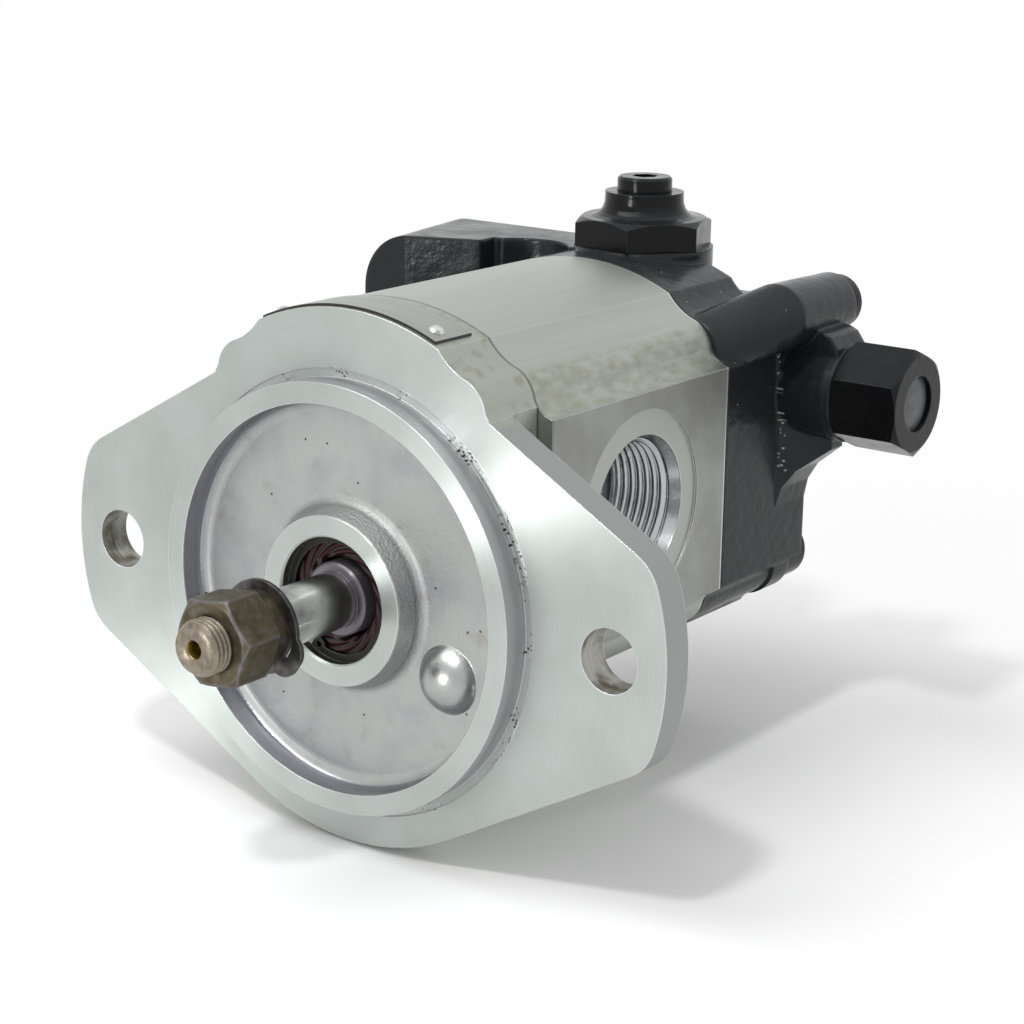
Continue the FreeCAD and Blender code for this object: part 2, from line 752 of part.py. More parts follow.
def gear(z0, first_tooth_angle):
    """Spur gear with involute flanks round the axis at height z0."""
    y = gear_front_y + gear_end_clearance
    base_radius = pitch_radius * math.cos(math.radians(pressure_angle))
    rise = [base_radius + (tip_radius - base_radius) * (i / (flank_points - 1)) for i in range(flank_points)]
    pitch = 2 * math.pi / teeth
    edges = []
    for k in range(teeth):
        middle = math.radians(first_tooth_angle) + k * pitch
        flanks = []
        for side in (-1, 1):
            places = [polar(r, middle + side * tooth_half_angle(r), y, z0) for r in rise]
            root = polar(root_radius, middle + side * tooth_half_angle(base_radius), y, z0)
            curve = Part.BSplineCurve()
            curve.interpolate(places)
            edges.append(curve.toShape())
            edges.append(Part.makeLine(root, places[0]))
            flanks.append(places[-1])
        edges.append(Part.Arc(flanks[0], polar(tip_radius, middle, y, z0), flanks[1]).toShape())
        root_start = middle + tooth_half_angle(base_radius)
        root_end = middle + pitch - tooth_half_angle(base_radius)
        edges.append(Part.Arc(polar(root_radius, root_start, y, z0),
                              polar(root_radius, (root_start + root_end) / 2, y, z0),
                              polar(root_radius, root_end, y, z0)).toShape())
    wire = Part.Wire(Part.__sortEdges__(edges))
    return Part.Face(wire).extrude(point(0, gear_width - 2 * gear_end_clearance, 0))


def journals(z0, start_y):
    """Both journals of one gear as a single turned bar."""
    c = journal_chamfer
    return turned_y([
        (0, start_y), (journal_radius - c, start_y), (journal_radius, start_y + c),
        (journal_radius, shaft_end_y - c), (journal_radius - c, shaft_end_y), (0, shaft_end_y)], 0, z0)


def key_disc():
    """Full disc of the half-moon key, before its flat top is cut."""
    turn = math.radians(key_angle)
    outward = point(math.cos(turn), 0, math.sin(turn))
    side = outward.cross(AXIS_Y)
    centre = point(0, key_centre_y, 0) + outward * key_centre_radius - side * (key_width / 2)
    return Part.makeCylinder(key_disc_radius, key_width, centre, side)


def drive_shaft():
    c = thread_chamfer
    tip = thread_tip_y
    tail = turned_y([
        (0, tip + centre_hole_depth), (centre_hole_radius, tip), (thread_radius - c, tip), (thread_radius, tip + c),
        (thread_radius, washer_seat_y), (shaft_radius, washer_seat_y), (shaft_radius, journal_front_y + 1),
        (0, journal_front_y + 1)])
    shaft = fused(tail, [journals(0, journal_front_y), gear(0, 90.0)])
    return shaft.cut(key_disc())


def driven_shaft():
    half_pitch = 180.0 / teeth
    return fused(journals(centre_distance, joint_y + 2), [gear(centre_distance, -90.0 + half_pitch)])


def woodruff_key():
    turn = math.radians(key_angle)
    outward = point(math.cos(turn), 0, math.sin(turn))
    keep = rod_between(2 * key_disc_radius, point(0, key_centre_y, 0),
                       point(0, key_centre_y, 0) + outward * key_top_radius)
    return key_disc().common(keep)


def shaft_nut():
    rear = washer_seat_y - washer_thickness
    hex_rear = rear - nut_collar_height
    front = hex_rear - nut_height
    corner = nut_flats / math.sqrt(3)
    face = nut_flats / 2
    slope = math.tan(math.radians(nut_chamfer_angle))
    body = hexagon(nut_flats, nut_turn, point(0, front, 0), AXIS_Y, AXIS_X, nut_height)
    limit = turned_y([(0, front), (face, front), (corner, front + (corner - face) * slope),
                      (corner, hex_rear - (corner - face) * slope), (face, hex_rear), (0, hex_rear)])
    collar = rod_y(nut_collar_radius, 0, 0, hex_rear, rear)
    nut = fused(body.common(limit), [collar])
    return nut.cut(rod_y(thread_radius, 0, 0, front - 1, rear + 1))


def tab_washer():
    front = washer_seat_y - washer_thickness
    rear = washer_seat_y
    reach = washer_tab_reach
    half = washer_tab_half_width
    corner = washer_tab_corner
    tab = block(0, reach, front, rear, -half, half)
    upright = []
    for edge in tab.Edges:
        one, other = edge.Vertexes
        outer = max(abs(one.X - reach), abs(other.X - reach)) < edge_tolerance
        if outer and abs(one.Z - other.Z) < edge_tolerance:
            upright.append(edge)
    tab = tab.makeFillet(corner, upright)
    slot = rod_y(washer_slot_outer, 0, 0, front - 1, rear + 1).cut(
        rod_y(washer_slot_inner, 0, 0, front - 1, rear + 1))
    sector = Part.makeCylinder(2 * washer_radius, washer_thickness + 2, point(0, front - 1, 0), AXIS_Y,
                               washer_slot_sweep)
    tab.rotate(ORIGIN, AXIS_Y, -washer_tab_angle)
    first = sector.CenterOfMass
    bearing = math.degrees(math.atan2(first.z, first.x))
    middle = washer_slot_start - washer_slot_sweep / 2
    sector.rotate(ORIGIN, AXIS_Y, bearing - middle)
    washer = fused(rod_y(washer_radius, 0, 0, front, rear), [tab])
    return washer.cut([rod_y(thread_radius, 0, 0, front - 1, rear + 1), slot.common(sector)])


def shaft_seal():
    """Lip seal: flat outer face, press-fit rim and a lip that points into the pump."""
    front = seal_front_y
    rear = front + seal_width
    lip = journal_radius + seal_lip_gap
    rim = seal_bore_radius - seal_rim_wall
    web = front + seal_lip_points[0][1]
    return turned_y(
        [(seal_bore_radius, front), (seal_bore_radius, rear), (rim, rear), (rim, web)]
        + [(lip + out, front + along) for out, along in seal_lip_points])


def garter_spring():
    centre = point(0, seal_front_y + garter_y, 0)
    return o_ring(journal_radius + garter_offset, garter_wire_radius, centre, AXIS_Y)


def retaining_ring():
    """Internal retaining ring, open at the bottom, with a holed lug at each end."""
    front = ring_front_y
    rear = front + ring_thickness
    ring = rod_y(ring_groove_radius, 0, 0, front, rear).cut(rod_y(ring_inner_radius, 0, 0, front - 1, rear + 1))
    half_gap = math.radians(ring_gap_angle / 2)
    reach = 2 * ring_groove_radius
    gap = prism_y([(0, 0), (-reach * math.sin(half_gap), -reach * math.cos(half_gap)),
                   (reach * math.sin(half_gap), -reach * math.cos(half_gap))], front - 1, rear + 1)
    ring = ring.cut(gap)
    lug_at = ring_inner_radius + ring_lug_offset
    lugs = []
    holes = []
    for s in (-1, 1):
        turn = s * (half_gap + ring_lug_radius / lug_at)
        x = lug_at * math.sin(turn)
        z = -lug_at * math.cos(turn)
        lugs.append(rod_y(ring_lug_radius, x, z, front, rear))
        holes.append(rod_y(ring_lug_hole_radius, x, z, front - 1, rear + 1))
    ring = fused(ring, lugs).cut(holes)
    ring.rotate(ORIGIN, AXIS_Y, ring_gap_turn)
    return ring


def pressure_seal_region(outer_y, depth):
    """Three-shaped band that opens towards the inlet side; depth is signed along Y."""
    y0, y1 = sorted((outer_y, outer_y + depth))
    band = figure_eight(pressure_seal_outer, y0, y1).cut(
        [rod_y(pressure_seal_inner, 0, z, y0 - 1, y1 + 1) for z in (0, centre_distance)])
    reach = 3 * pressure_seal_outer
    return band.common(block(-reach, pressure_seal_edge_x, y0, y1, -reach, reach + centre_distance))


front_block_y = joint_y + gear_end_clearance
rear_block_y = rear_y - gear_end_clearance


def front_bearing_block():
    body = figure_eight(tip_radius, front_block_y, gear_front_y)
    return finish_block(body, front_block_y, pressure_seal_depth, gear_front_y)


def rear_bearing_block():
    body = figure_eight(tip_radius, gear_rear_y, rear_block_y)
    return finish_block(body, rear_block_y, -pressure_seal_depth, gear_rear_y)


def finish_block(body, outer_y, depth, gear_side_y):
    """Bush bores, seal groove on the outer face and relief slots on the gear side."""
    tools = [rod_y(bush_radius, 0, z, joint_y - 1, rear_y + 1) for z in (0, centre_distance)]
    tools.append(pressure_seal_region(outer_y, depth))
    for s in (-1, 1):
        x0, x1 = sorted((s * relief_slot_near, s * relief_slot_far))
        tools.append(block(x0, x1, gear_side_y - relief_slot_depth, gear_side_y + relief_slot_depth,
                           mid_z - relief_slot_height / 2, mid_z + relief_slot_height / 2))
    return body.cut(tools)


def bushes(y0):
    """Two plain bushes that start at y0, one in each bore of a bearing block."""
    inner = journal_radius + bush_clearance
    sleeves = []
    for z in (0, centre_distance):
        outer = rod_y(bush_radius, 0, z, y0, y0 + bush_length)
        sleeves.append(outer.cut(rod_y(inner, 0, z, y0 - 1, y0 + bush_length + 1)))
    return Part.makeCompound(sleeves)


def body_seal(y0):
    depth = body_seal_depth - seal_play
    outer = figure_eight(body_seal_outer, y0, y0 + depth)
    return outer.cut(figure_eight(body_seal_inner, y0 - 1, y0 + depth + 1))


def gallery_o_ring():
    wire = (gallery_ring_outer - gallery_radius) / 2 - seal_play
    depth = gallery_ring_depth - seal_play
    ring = rod_y(gallery_ring_outer, gallery_x, mid_z, rear_y, rear_y + depth)
    return ring.cut(rod_y(gallery_ring_outer - 2 * wire, gallery_x, mid_z, rear_y - 1, rear_y + depth + 1))


def housing_bolts():
    bolts = []
    for x, z in bolt_places():
        shank = rod_y(bolt_radius, x, z, bolt_tip_y, seat_y)
        head = rod_y(bolt_head_radius, x, z, seat_y, seat_y + bolt_head_height)
        socket = hexagon(bolt_socket_flats, 0, point(x, seat_y + bolt_head_height - bolt_socket_depth, z),
                         AXIS_Y, AXIS_X, bolt_socket_depth + 1)
        bolts.append(fused(shank, [head]).cut(socket))
    return Part.makeCompound(bolts)


def dowel_pins():
    half = dowel_length / 2
    return Part.makeCompound([rod_y(dowel_radius, x, z, y - half, y + half)
                              for y in (joint_y, rear_y) for x, z in dowel_places()])


def nameplate():
    shell = rod_y(crown_radius + plate_thickness, 0, crown_centre_z, plate_front_y, plate_rear_y).cut(
        rod_y(crown_radius, 0, crown_centre_z, plate_front_y - 1, plate_rear_y + 1))
    strip = block(plate_left_x, plate_right_x, plate_front_y, plate_rear_y, mid_z, 2 * crown_radius)
    holes = []
    for x in (rivet_left_x, rivet_right_x):
        foot, outward = rivet_axis(x)
        holes.append(rod_between(rivet_radius, foot - outward, foot + outward * 2))
    return shell.common(strip).cut(holes)


def nameplate_rivets():
    radius = (rivet_head_radius ** 2 + rivet_head_height ** 2) / (2 * rivet_head_height)
    rivets = []
    for x in (rivet_left_x, rivet_right_x):
        foot, outward = rivet_axis(x)
        seat = foot + outward * plate_thickness
        ball = Part.makeSphere(radius, seat + outward * (rivet_head_height - radius))
        head = ball.common(rod_between(2 * rivet_head_radius, seat, seat + outward * radius))
        rivets.append(fused(rod_between(rivet_radius, foot - outward * rivet_depth, seat), [head]))
    return Part.makeCompound(rivets)


def relief_seat():
    return turned_z([
        (seat_hole_radius, relief_seat_z), (relief_seat_radius, relief_seat_z), (relief_seat_radius, relief_floor_z),
        (seat_cone_radius, relief_floor_z), (seat_hole_radius, relief_floor_z - seat_cone_depth)], 0, relief_y)


def relief_plug():
    """Hexagon plug with a concave neck, a collar round the adjuster and a threaded sleeve below."""
    base = relief_boss_top_z
    hex_top = base + relief_hex_height
    corner = relief_hex_flats / math.sqrt(3)
    face = relief_hex_flats / 2
    slope = math.tan(math.radians(nut_chamfer_angle))
    prism = hexagon(relief_hex_flats, relief_hex_turn, point(0, relief_y, base), AXIS_Z, AXIS_X, relief_hex_height)
    limit = turned_z([(0, base), (corner, base), (corner, hex_top - (corner - face) * slope), (face, hex_top),
                      (0, hex_top)], 0, relief_y)
    collar_bottom = relief_collar_top_z - relief_collar_height
    run = relief_neck_foot_radius - relief_collar_radius
    rise = collar_bottom - hex_top
    length = math.hypot(run, rise)
    neck = [(relief_neck_foot_radius, hex_top)]
    for i in range(1, relief_neck_points):
        t = i / relief_neck_points
        bow = relief_neck_sag * 4 * t * (1 - t)
        neck.append((relief_neck_foot_radius - run * t - bow * rise / length, hex_top + rise * t - bow * run / length))
    stem = turned_z([(0, hex_top - 1), (relief_neck_foot_radius, hex_top - 1)] + neck
                    + [(relief_collar_radius, collar_bottom), (relief_collar_radius, relief_collar_top_z),
                       (0, relief_collar_top_z)], 0, relief_y)
    under = base - relief_ring_depth
    sleeve = turned_z([(0, relief_floor_z), (relief_thread_radius - 1, relief_floor_z),
                       (relief_thread_radius, relief_floor_z + 1), (relief_thread_radius, under),
                       (relief_undercut_radius, under), (relief_undercut_radius, base), (0, base)], 0, relief_y)
    plug = fused(prism.common(limit), [stem, sleeve])
    outlets = [rod_x(relief_outlet_radius, relief_y, relief_outlet_z, -2 * relief_thread_radius,
                     2 * relief_thread_radius)]
    bore = rod_z(relief_bore_radius, 0, relief_y, relief_floor_z - 1, relief_collar_top_z + 1)
    return plug.cut(outlets + [bore])


def relief_o_ring():
    radius = relief_undercut_radius + ring_wire_radius
    return o_ring(radius, ring_wire_radius, point(0, relief_y, relief_boss_top_z - ring_wire_radius), AXIS_Z)


def poppet_base_z():
    """Height of the poppet's rim when its cone rests in the seat."""
    return relief_floor_z + poppet_gap


def relief_poppet():
    base = poppet_base_z()
    nose = base - poppet_nose_depth
    slope = (seat_cone_radius - seat_hole_radius) / seat_cone_depth
    top_radius = seat_cone_radius - poppet_inset
    tip_radius_here = top_radius - slope * poppet_nose_depth
    guide = base + poppet_height
    shelf = guide + poppet_guide_height
    return turned_z([
        (0, nose), (tip_radius_here, nose), (top_radius, base), (poppet_radius, base), (poppet_radius, guide),
        (poppet_guide_radius, guide), (poppet_guide_radius, shelf), (poppet_spigot_radius, shelf),
        (poppet_spigot_radius, shelf + poppet_spigot_height), (0, shelf + poppet_spigot_height)], 0, relief_y)


def relief_spring():
    shelf = poppet_base_z() + poppet_height + poppet_guide_height
    return coil(relief_spring_radius, spring_wire_radius, spring_turns, point(0, relief_y, shelf), AXIS_Z,
                adjuster_bottom_z - shelf)


def relief_adjuster():
    c = adjuster_chamfer
    body = turned_z([(0, adjuster_bottom_z), (adjuster_radius - c, adjuster_bottom_z),
                     (adjuster_radius, adjuster_bottom_z + c), (adjuster_radius, adjuster_top_z - c),
                     (adjuster_radius - c, adjuster_top_z), (0, adjuster_top_z)], 0, relief_y)
    floor = adjuster_top_z - adjuster_socket_depth
    return body.cut(hexagon(adjuster_socket_flats, relief_hex_turn, point(0, relief_y, floor), AXIS_Z, AXIS_X,
                            adjuster_socket_depth + 1))


def priority_spool():
    """Spool with three lands; its right end carries a spigot for the spring."""
    land = spool_bore_radius - spool_clearance
    neck = spool_neck_radius
    left = spool_stop_x + spool_stop_gap
    right = spool_right_x
    middle = (left + right) / 2
    half = spool_land_width / 2
    return turned_x([
        (0, left), (land, left), (land, left + half), (neck, left + half), (neck, middle - half),
        (land, middle - half), (land, middle + half), (neck, middle + half), (neck, right - half),
        (land, right - half), (land, right), (spool_spigot_radius, right),
        (spool_spigot_radius, right + spool_spigot_length), (0, right + spool_spigot_length)], spool_y, spool_z)


def spool_spring():
    return coil(spool_spring_radius, spring_wire_radius, 2 * spring_turns, point(spool_right_x, spool_y, spool_z),
                AXIS_X, cap_inner_x - spool_right_x)


def spool_cap():
    """Hexagon cap with a chamfered end, a recess for the disc and a threaded shank."""
    base = spool_ridge_right_x
    corner = cap_flats / math.sqrt(3)
    face = cap_flats / 2
    slope = math.tan(math.radians(cap_chamfer_angle))
    prism = hexagon(cap_flats, cap_turn, point(base, spool_y, spool_z), AXIS_X, AXIS_Z, cap_end_x - base)
    limit = turned_x([(0, base), (face, base), (corner, base + (corner - face) * slope),
                      (corner, cap_end_x - (corner - face) * slope), (face, cap_end_x), (0, cap_end_x)],
                     spool_y, spool_z)
    under = base - cap_ring_depth
    shank = turned_x([(0, cap_inner_x), (cap_thread_radius - 1, cap_inner_x), (cap_thread_radius, cap_inner_x + 1),
                      (cap_thread_radius, under), (cap_undercut_radius, under), (cap_undercut_radius, base),
                      (0, base)], spool_y, spool_z)
    recess = rod_x(cap_recess_radius, spool_y, spool_z, cap_end_x - cap_recess_depth, cap_end_x + 1)
    return fused(prism.common(limit), [shank]).cut(recess)


def spool_cap_disc():
    floor = cap_end_x - cap_recess_depth
    edge = floor + cap_disc_thickness
    ball = (cap_recess_radius ** 2 + cap_disc_crown ** 2) / (2 * cap_disc_crown)
    crown = []
    for i in range(disc_crown_points):
        r = cap_recess_radius * (1 - i / (disc_crown_points - 1))
        crown.append((r, edge + cap_disc_crown - ball + math.sqrt(ball ** 2 - r ** 2)))
    return turned_x([(0, floor), (cap_recess_radius, floor)] + crown, spool_y, spool_z)


def spool_cap_o_ring():
    wire = (cap_ring_counterbore - cap_undercut_radius) / 2 - seal_play
    return o_ring(cap_undercut_radius + wire, wire, point(spool_ridge_right_x - wire, spool_y, spool_z), AXIS_X)


def rear_plug():
    end = plug_boss_end_y
    neck = end + plug_neck_length
    top = neck + plug_head_length
    body = turned_y([
        (0, end - plug_thread_length), (plug_thread_radius - plug_chamfer, end - plug_thread_length),
        (plug_thread_radius, end - plug_thread_length + plug_chamfer), (plug_thread_radius, end),
        (plug_neck_radius, end), (plug_neck_radius, neck), (plug_head_radius, neck),
        (plug_head_radius, top - plug_chamfer), (plug_head_radius - plug_chamfer, top), (0, top)],
        plug_x, plug_z)
    socket = hexagon(plug_socket_flats, 0, point(plug_x, top - plug_socket_depth, plug_z), AXIS_Y, AXIS_X,
                     plug_socket_depth + 1)
    return body.cut(socket)


def rear_plug_o_ring():
    wire = plug_neck_length / 2
    return o_ring(plug_neck_radius + wire, wire, point(plug_x, plug_boss_end_y + wire, plug_z), AXIS_Y)


def front_bushes():
    return bushes(front_block_y + (block_length - bush_length) / 2)


def rear_bushes():
    return bushes(gear_rear_y + (block_length - bush_length) / 2)


def front_pressure_seal():
    return pressure_seal_region(front_block_y, pressure_seal_depth - seal_play)


def rear_pressure_seal():
    return pressure_seal_region(rear_block_y, seal_play - pressure_seal_depth)


def front_body_seal():
    return body_seal(joint_y)


def rear_body_seal():
    return body_seal(rear_y - body_seal_depth + seal_play)


NODES = [
    front_cover, gear_housing, rear_cover, drive_shaft, driven_shaft, woodruff_key, tab_washer, shaft_nut,
    shaft_seal, garter_spring, retaining_ring, front_bearing_block, rear_bearing_block, front_bushes, rear_bushes,
    front_pressure_seal, rear_pressure_seal, front_body_seal, rear_body_seal, gallery_o_ring, housing_bolts,
    dowel_pins, nameplate, nameplate_rivets, relief_seat, relief_poppet, relief_spring, relief_plug, relief_o_ring,
    relief_adjuster, priority_spool, spool_spring, spool_cap, spool_cap_disc, spool_cap_o_ring, rear_plug,
    rear_plug_o_ring]


def main():
    os.makedirs("parts", exist_ok=True)
    for make in NODES:
        make().exportStep("parts/" + make.__name__ + ".step")


main()
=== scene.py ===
import math

import bmesh
import bpy
from mathutils import Matrix, Vector


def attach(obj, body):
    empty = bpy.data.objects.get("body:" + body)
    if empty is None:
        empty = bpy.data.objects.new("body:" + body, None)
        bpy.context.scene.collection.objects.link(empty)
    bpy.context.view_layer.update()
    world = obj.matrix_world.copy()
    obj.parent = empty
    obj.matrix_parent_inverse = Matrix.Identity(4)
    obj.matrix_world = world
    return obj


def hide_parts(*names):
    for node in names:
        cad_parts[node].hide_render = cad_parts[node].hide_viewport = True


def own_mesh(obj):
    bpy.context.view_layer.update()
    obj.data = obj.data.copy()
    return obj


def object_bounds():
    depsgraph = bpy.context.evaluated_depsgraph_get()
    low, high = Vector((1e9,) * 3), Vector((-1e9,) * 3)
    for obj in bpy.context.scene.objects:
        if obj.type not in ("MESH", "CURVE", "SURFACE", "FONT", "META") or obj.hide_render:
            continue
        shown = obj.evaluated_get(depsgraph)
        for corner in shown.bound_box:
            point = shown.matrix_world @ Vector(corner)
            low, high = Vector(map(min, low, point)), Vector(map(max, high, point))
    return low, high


bl_info = {
    "name": "Gear Charge Pump",
    "version": (1, 0, 0),
    "blender": (4, 5, 0),
    "location": "3D View > Sidebar > Charge Pump",
    "description": "Dresses a gear charge pump with its threads, cast surfaces and finishes",
    "category": "Object",
}

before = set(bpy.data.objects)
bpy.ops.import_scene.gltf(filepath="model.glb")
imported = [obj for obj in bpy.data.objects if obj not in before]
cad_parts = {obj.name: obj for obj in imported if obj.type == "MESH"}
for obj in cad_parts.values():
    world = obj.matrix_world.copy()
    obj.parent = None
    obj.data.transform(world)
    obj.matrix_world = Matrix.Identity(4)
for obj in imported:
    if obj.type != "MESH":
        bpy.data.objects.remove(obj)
CAD_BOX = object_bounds()
MM = 0.001

# Places that the finishes and the added pieces share with the frame, in millimetres
MID_Z = 16.5
INLET_Y = 54.5
INLET_RADIUS = 16.67
INLET_SPOT_RADIUS = 24.0
PAD_X = 44.3
OUTLET_PLACE = (-56.0, 126.5, 46.5)
OUTLET_RADIUS = 11.11
SHAFT_TIP_Y = -50.3
STUD_END_Y = -34.0
THREAD_RADIUS = 6.35
CENTRE_HOLE_RADIUS = 1.9
JOURNAL_Y = -5.2
PILOT_FRONT_Y = -6.5
PILOT_RADIUS = 50.8
RECESS_RADIUS = 45.9
BOSS_RADIUS = 20.0
BOLT_HOLE_X = 73.025
BOLT_HOLE_RADIUS = 7.3
NECK_X = 42.0
CROWN_CENTRE_Z = 4.3
DOME_PLACE = (29.3, 0, -14.2)
DOME_RADIUS = 8.0
FRONT_JOINT_Y = 18.0
REAR_JOINT_Y = 91.0
PAD_TOP_Z = 44.0
BEAD_Y = (117.4, 119.2)
BEAD_Z = (14.0, 48.0)
# How far the ring that carries a port's thread sinks into the plain bore
SLEEVE_WALL = 0.3
# How far the parting bead runs rearwards for each millimetre down
BEAD_LEAN = 3.2 / 36
# Ribs round the seal's lip, and the rib spacings that each leans by over a millimetre of radius
SEAL_RIBS = 14
SEAL_RIB_LEAN = 0.55
# Each spring, the joint that squeezes it, its axis and its travel
SPRINGS = (("relief_spring", "relief_lift", (0, 0, 1), 1.5), ("spool_spring", "spool_slide", (1, 0, 0), 4.0))


def linear(hex_colour):
    """Linear RGBA of an sRGB hex colour such as #A0B0C0."""
    channels = []
    for start in (1, 3, 5):
        value = int(hex_colour[start:start + 2], 16) / 255
        channels.append(value / 12.92 if value <= 0.04045 else ((value + 0.055) / 1.055) ** 2.4)
    return (*channels, 1.0)


def colour_property(name, description, hex_colour):
    return bpy.props.FloatVectorProperty(name=name, description=description, size=4, min=0, max=1,
                                         subtype="COLOR", default=linear(hex_colour))


def length_property(name, description, millimetre_value):
    return bpy.props.FloatProperty(name=name, description=description, default=millimetre_value * MM,
                                   min=0, subtype="DISTANCE", unit="LENGTH", precision=5)


class PumpSizes(bpy.types.PropertyGroup):
    """Sizes of what is added to the frame."""
    shaft_pitch: length_property("Shaft thread pitch", "Distance between the shaft thread's turns", 1.27)
    shaft_thread_depth: length_property("Shaft thread depth", "Depth of the shaft end's thread", 0.62)
    inlet_pitch: length_property("Inlet thread pitch", "Distance between the inlet thread's turns", 2.117)
    inlet_thread_depth: length_property("Inlet thread depth", "Height of the inlet's thread", 1.05)
    outlet_pitch: length_property("Outlet thread pitch", "Distance between the outlet thread's turns", 1.814)
    outlet_thread_depth: length_property("Outlet thread depth", "Height of the outlet's thread", 0.9)
    cast_edge: length_property("Cast edge", "Radius of the rear cover's cast edges", 1.5)
    machined_edge: length_property("Machined edge", "Width of the broken edges on machined metal", 0.35)


class PumpColours(bpy.types.PropertyGroup):
    """Colours of the finishes."""
    turned_aluminium: colour_property("Turned aluminium", "Machined faces of the front cover", "#BCC2BF")
    cast_aluminium: colour_property("Cast aluminium", "As-cast floor of the front cover's recess", "#A5A8A6")
    # the side walls' cast tone, made darker still as painted shade
    flange_side: colour_property("Flange side", "Cast side walls of the flange", "#989C9B")
    extruded_aluminium: colour_property("Extruded aluminium", "Outside of the gear housing", "#AAB0A9")
    # the pad's milled grey, made darker still as painted shade on this side face
    milled_pad: colour_property("Milled pad", "Flat side face of the gear housing", "#999B97")
    oil_stain: colour_property("Oil stain", "Dried oil above the pad's edge", "#8D8B76")
    cast_enamel: colour_property("Casting enamel", "Enamel on the rear cover", "#1B1D1F")
    black_enamel: colour_property("Black enamel", "Enamel on the plugs and bolts", "#08080A")
    # painted light: upward and cap-side faces drawn lighter, over a real film of settled dust
    dust_and_painted_light: colour_property("Settled dust", "Film of dust on upward and outward faces", "#34383A")
    chipped_edge: colour_property("Chipped enamel", "Bare specks where the enamel is thin", "#8D8E8C")
    ground_steel: colour_property("Ground steel", "Ground part of the drive shaft", "#BDBEBD")
    stud_steel: colour_property("Stud steel", "Oxidised threaded end of the shaft", "#8A8173")
    brass_dirt: colour_property("Centre hole", "Dried grease in the shaft's centre hole", "#7D6D2C")
    zinc_olive: colour_property("Olive zinc", "Olive chromate on the shaft nut", "#5C5541")
    # rubbed zinc, which also lightens the nut's edges as a painted highlight
    zinc_rubbed_and_lit: colour_property("Worn zinc", "Rubbed edges of the shaft nut", "#8B8591")
    oiled_steel: colour_property("Oiled steel", "Dark oiled washer and ring", "#5E5B5B")
    phosphate: colour_property("Phosphate", "Black phosphate on the retaining ring", "#2F2D2C")
    seal_maroon: colour_property("Seal maroon", "Fluorocarbon rubber of the shaft seal", "#281516")
    black_rubber: colour_property("Black rubber", "Nitrile rubber of the inner seals", "#151516")
    plate: colour_property("Plate", "Bare aluminium plate", "#A5A8A2")
    bearing_bronze: colour_property("Bearing bronze", "Plain bushes", "#A98A58")
    bearing_aluminium: colour_property("Bearing aluminium", "Bearing blocks", "#BCBDBB")
    disc_grey: colour_property("Disc grey", "Disc in the end of the hexagon cap", "#4E5257")
    floor: colour_property("Floor", "Plain pale floor", "#F4F4F4")


def add_node(tree, kind, inputs=None, **settings):
    """Adds one node. inputs gives sockets, by name or number, a value, a node's first output or an output."""
    made = tree.nodes.new(kind)
    for name, value in settings.items():
        setattr(made, name, value)
    for key, value in (inputs or {}).items():
        if isinstance(value, bpy.types.Node):
            value = value.outputs[0]
        if isinstance(value, bpy.types.NodeSocket):
            tree.links.new(value, made.inputs[key])
        else:
            made.inputs[key].default_value = value
    return made


def blank_material(name):
    material = bpy.data.materials.new(name)
    material.use_nodes = True
    material.node_tree.nodes.clear()
    return material, material.node_tree


def finish(material, shader_inputs):
    """Ends a material in one Principled shader."""
    tree = material.node_tree
    shader = add_node(tree, "ShaderNodeBsdfPrincipled", shader_inputs)
    add_node(tree, "ShaderNodeOutputMaterial", {"Surface": shader})
    return material


def millimetres(tree):
    """Object coordinates in millimetres."""
    place = add_node(tree, "ShaderNodeTexCoord").outputs["Object"]
    return add_node(tree, "ShaderNodeVectorMath", {0: place, "Scale": 1 / MM}, operation="SCALE")


def overlap(tree, mask, *others):
    """1 where every mask is 1; a plain number thins the mask."""
    for other in others:
        mask = add_node(tree, "ShaderNodeMath", {0: mask, 1: other}, operation="MULTIPLY")
    return mask


def coats(tree, base, *layers):
    """The base colour under coats of (mask, colour), each laid over what is below it."""
    for mask, colour in layers:
        base = add_node(tree, "ShaderNodeMix", {0: mask, 6: base, 7: colour}, data_type="RGBA").outputs[2]
    return base


def grades(tree, number, *changes):
    """A number that goes over to another where a mask is 1, for each (mask, number) in turn."""
    for mask, other in changes:
        number = add_node(tree, "ShaderNodeMapRange", {"Value": mask, "To Min": number, "To Max": other})
    return number


def relief(tree, normal, *heights):
    """The normal under bumps of (height, depth in millimetres, strength), each over the one before."""
    for height, depth, strength in heights:
        normal = add_node(tree, "ShaderNodeBump", {"Height": height, "Distance": depth * MM,
                                                   "Strength": strength, "Normal": normal})
    return normal


def ramp(tree, value, start, end):
    """0 where value is at start, 1 at end, held beyond both."""
    if start > end:
        fall = add_node(tree, "ShaderNodeMapRange", {"Value": value, "From Min": end, "From Max": start})
        return add_node(tree, "ShaderNodeMath", {0: 1.0, 1: fall}, operation="SUBTRACT")
    return add_node(tree, "ShaderNodeMapRange", {"Value": value, "From Min": start, "From Max": end})


def band(tree, value, low, high, soft):
    """1 between low and high, falling to 0 over soft on both sides."""
    return overlap(tree, ramp(tree, value, low - soft, low), ramp(tree, value, high + soft, high))


def distance_from(tree, place, centre, weights):
    """Distance in millimetres from a point, along the axes whose weight is 1."""
    offset = add_node(tree, "ShaderNodeVectorMath", {0: place, 1: centre}, operation="SUBTRACT")
    flat = add_node(tree, "ShaderNodeVectorMath", {0: offset, 1: weights}, operation="MULTIPLY")
    return add_node(tree, "ShaderNodeVectorMath", {0: flat}, operation="LENGTH").outputs["Value"]


